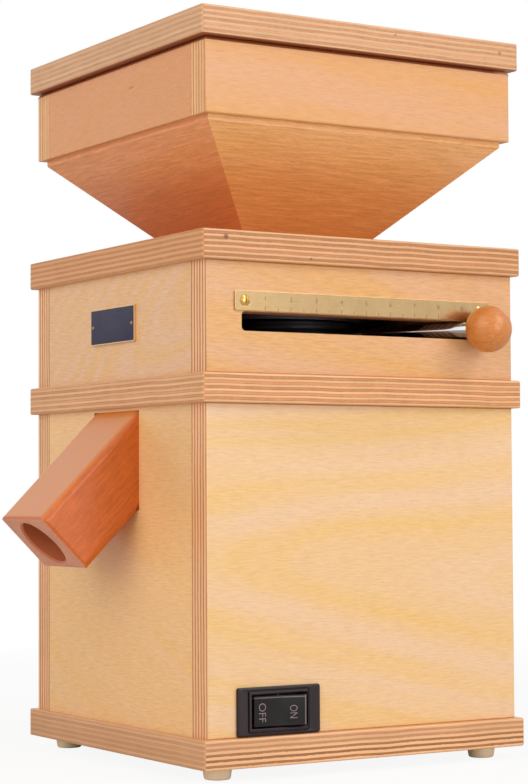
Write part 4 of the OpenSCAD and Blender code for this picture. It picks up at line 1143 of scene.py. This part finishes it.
class MILL_OT_grinding(Operator):
    """Grinding chamber, its flange and holder, and the two stones"""

    bl_idname = "mill.grinding"
    bl_label = "Grinding works"

    def execute(self, context):
        # Cast aluminium kept darker than the motor bells, partly as painted shade inside the chamber seen
        # through the slot
        aluminium = cast_metal("chamber_aluminium", screen(120, 120, 122))
        dress(aluminium, "chamber_wall", "chamber_floor", "feed_flange")
        dress(threaded_steel("holder_steel", screen(168, 168, 172)), "stone_holder")
        dress(turned_metal("turned_steel", screen(176, 176, 180)), "stone_carrier", "stone_nut", "guide_pins")
        dress(bonded_stone("corundum", context.scene.mill_colours.stone), "upper_stone", "lower_stone")
        return {"FINISHED"}


class MILL_OT_motor(Operator):
    """Motor: shaft, rotor, fan, stator, windings, bells, pillars and bearings"""

    bl_idname = "mill.motor"
    bl_label = "Motor"

    def execute(self, context):
        dress(turned_metal("ground_shaft", screen(190, 190, 194), roughness=0.16), "motor_shaft")
        races = turned_metal("bearing_steel", screen(204, 204, 208), roughness=0.12)
        dress(races, "ball_bearings", "bearing_inner_rings")
        dress(turned_metal("pillar_steel", screen(182, 182, 186), roughness=0.3), "motor_pillars")
        dress(laminated_steel("stack_steel", screen(124, 124, 130)), "stator_stack")
        dress(laminated_steel("rotor_steel", screen(138, 136, 138), sheet=0.6 * MM), "rotor_core")
        dress(wound_wire("winding_copper", screen(188, 96, 52)), "stator_windings")
        dress(cast_metal("bell_aluminium", screen(188, 190, 192)), "motor_upper_bell", "motor_lower_bell")
        fan = moulded("fan_plastic", screen(206, 200, 188), roughness=0.46, grain=1500, light=0.8)
        dress(fan, "cooling_fan")
        return {"FINISHED"}


class MILL_OT_electrics(Operator):
    """Run capacitor and terminal block"""

    bl_idname = "mill.electrics"
    bl_label = "Electrics"

    def execute(self, context):
        can = brushed_metal("capacitor_can", screen(200, 202, 204), Z, roughness=0.34, patina=0.2)
        dress(can, "run_capacitor")
        block = moulded("terminal_plastic", screen(224, 218, 200), roughness=0.4, grain=1700, light=0.86)
        dress(block, "terminal_block")
        return {"FINISHED"}


class MILL_OT_stage(Operator):
    """Pale floor, soft lights, white surroundings and the camera"""

    bl_idname = "mill.stage"
    bl_label = "Stage"

    def execute(self, context):
        scene = context.scene
        self.floor(scene.mill_sizes.floor_reach)
        self.surroundings(scene)
        self.lamp("key_light", (0.68, 0.41, 0.60), (1.0, 0.985, 0.96), distance=2.3, size=1.1, power=18)
        self.lamp("side_light", (0.95, 0.15, 0.12), (1.0, 0.99, 0.97), distance=2.0, size=0.9, power=8)
        self.lamp("fill_light", (0.30, -0.84, 0.42), (1.0, 0.95, 0.88), distance=2.3, size=2.9, power=36)
        self.camera(scene, (1.03114, -0.63802, 0.14413), azimuth=58.38, tilt=2.64, roll=-0.28, lens=99.58)
        scene.view_settings.view_transform = "Standard"
        return {"FINISHED"}

    def floor(self, reach):
        """A pale floor just under the feet, which turns to white far out and keeps the shadow."""
        bm = bmesh.new()
        bmesh.ops.create_grid(bm, x_segments=24, y_segments=24, size=reach)
        mesh = bpy.data.meshes.new("floor")
        bm.to_mesh(mesh)
        bm.free()
        floor = added("floor", mesh)
        floor.location.z = -0.1 * MM
        finish = Finish("pale_floor")
        far = finish.from_shaft().rise(0.45, 1.0)
        seen = finish.node("ShaderNodeLightPath", output="Is Camera Ray")
        paper = finish.mix(finish.noise(180), screen(236, 236, 236), screen(228, 228, 228))
        matt = finish.node("ShaderNodeBsdfDiffuse", {}, {"Color": paper})
        glow = finish.node("ShaderNodeEmission", {}, {"Color": (1, 1, 1), "Strength": 1.0})
        finish.blend(seen * (0.91 + far * 0.09), matt, glow)
        mesh.materials.append(finish.owner)

    def surroundings(self, scene):
        """White where it is seen, mirrored or seen through, and dim where it lights the mill."""
        scene.world = bpy.data.worlds.new("white_room")
        room = Wiring(scene.world, "ShaderNodeOutputWorld")
        rays = room.node("ShaderNodeLightPath", output="Is Camera Ray")
        seen = rays | rays.output("Is Glossy Ray") | rays.output("Is Transmission Ray")
        dim, white = (
            room.node("ShaderNodeBackground", {}, {"Color": colour, "Strength": strength})
            for colour, strength in (((1, 0.99, 0.975), 0.36), ((1, 1, 1), 1.0)))
        room.blend(seen, dim, white)

    def lamp(self, name, direction, colour, distance, size, power):
        """A square lamp that looks at the middle of the mill; distance and size in metres."""
        aim = Vector((0, 0, 0.2))
        light = bpy.data.lights.new(name, "AREA")
        light.shape = "SQUARE"
        light.size = size
        light.energy = power
        light.color = colour
        lamp = added(name, light)
        lamp.location = aim + Vector(direction).normalized() * distance
        lamp.rotation_euler = (aim - lamp.location).to_track_quat("-Z", "Y").to_euler()

    def camera(self, scene, place, azimuth, tilt, roll, lens):
        """A camera that looks along the azimuth, tilted up; angles in degrees and lens in mm."""
        azimuth, tilt, roll = (math.radians(angle) for angle in (azimuth, tilt, roll))
        ahead = Vector((
            -math.sin(azimuth) * math.cos(tilt), math.cos(azimuth) * math.cos(tilt), math.sin(tilt)))
        level = ahead.cross(Vector((0, 0, 1))).normalized()
        upright = level.cross(ahead)
        right = level * math.cos(roll) + upright * math.sin(roll)
        up = upright * math.cos(roll) - level * math.sin(roll)
        data = bpy.data.cameras.new("camera")
        data.lens = lens
        data.sensor_width = 36
        camera = added("camera", data)
        camera.matrix_world = Matrix.Translation(place) @ Matrix((right, up, -ahead)).transposed().to_4x4()
        scene.camera = camera


STEPS = (
    MILL_OT_boards, MILL_OT_hopper, MILL_OT_case, MILL_OT_spout, MILL_OT_lever, MILL_OT_scale,
    MILL_OT_name_plate, MILL_OT_switch, MILL_OT_feet, MILL_OT_cord_inlet, MILL_OT_grinding,
    MILL_OT_motor, MILL_OT_electrics, MILL_OT_stage,
)


class MILL_PT_panel(Panel):
    """Lists the mill's colours, sizes and making steps"""

    bl_idname = "MILL_PT_panel"
    bl_label = "Grain mill"
    bl_space_type = "VIEW_3D"
    bl_region_type = "UI"
    bl_category = "Mill"

    def draw(self, context):
        for group in (context.scene.mill_sizes, context.scene.mill_colours):
            box = self.layout.box()
            for name in group.bl_rna.properties.keys():
                if name not in ("rna_type", "name"):
                    box.prop(group, name)
        for step in STEPS:
            self.layout.operator(step.bl_idname)


CLASSES = (MillSizes, MillColours, *STEPS, MILL_PT_panel)


def register():
    for item in CLASSES:
        bpy.utils.register_class(item)
    bpy.types.Scene.mill_sizes = PointerProperty(type=MillSizes)
    bpy.types.Scene.mill_colours = PointerProperty(type=MillColours)


def unregister():
    del bpy.types.Scene.mill_colours
    del bpy.types.Scene.mill_sizes
    for item in reversed(CLASSES):
        bpy.utils.unregister_class(item)


def main():
    register()
    for step in STEPS:
        group, name = step.bl_idname.split(".")
        getattr(getattr(bpy.ops, group), name)()


if __name__ == "__main__":
    main()
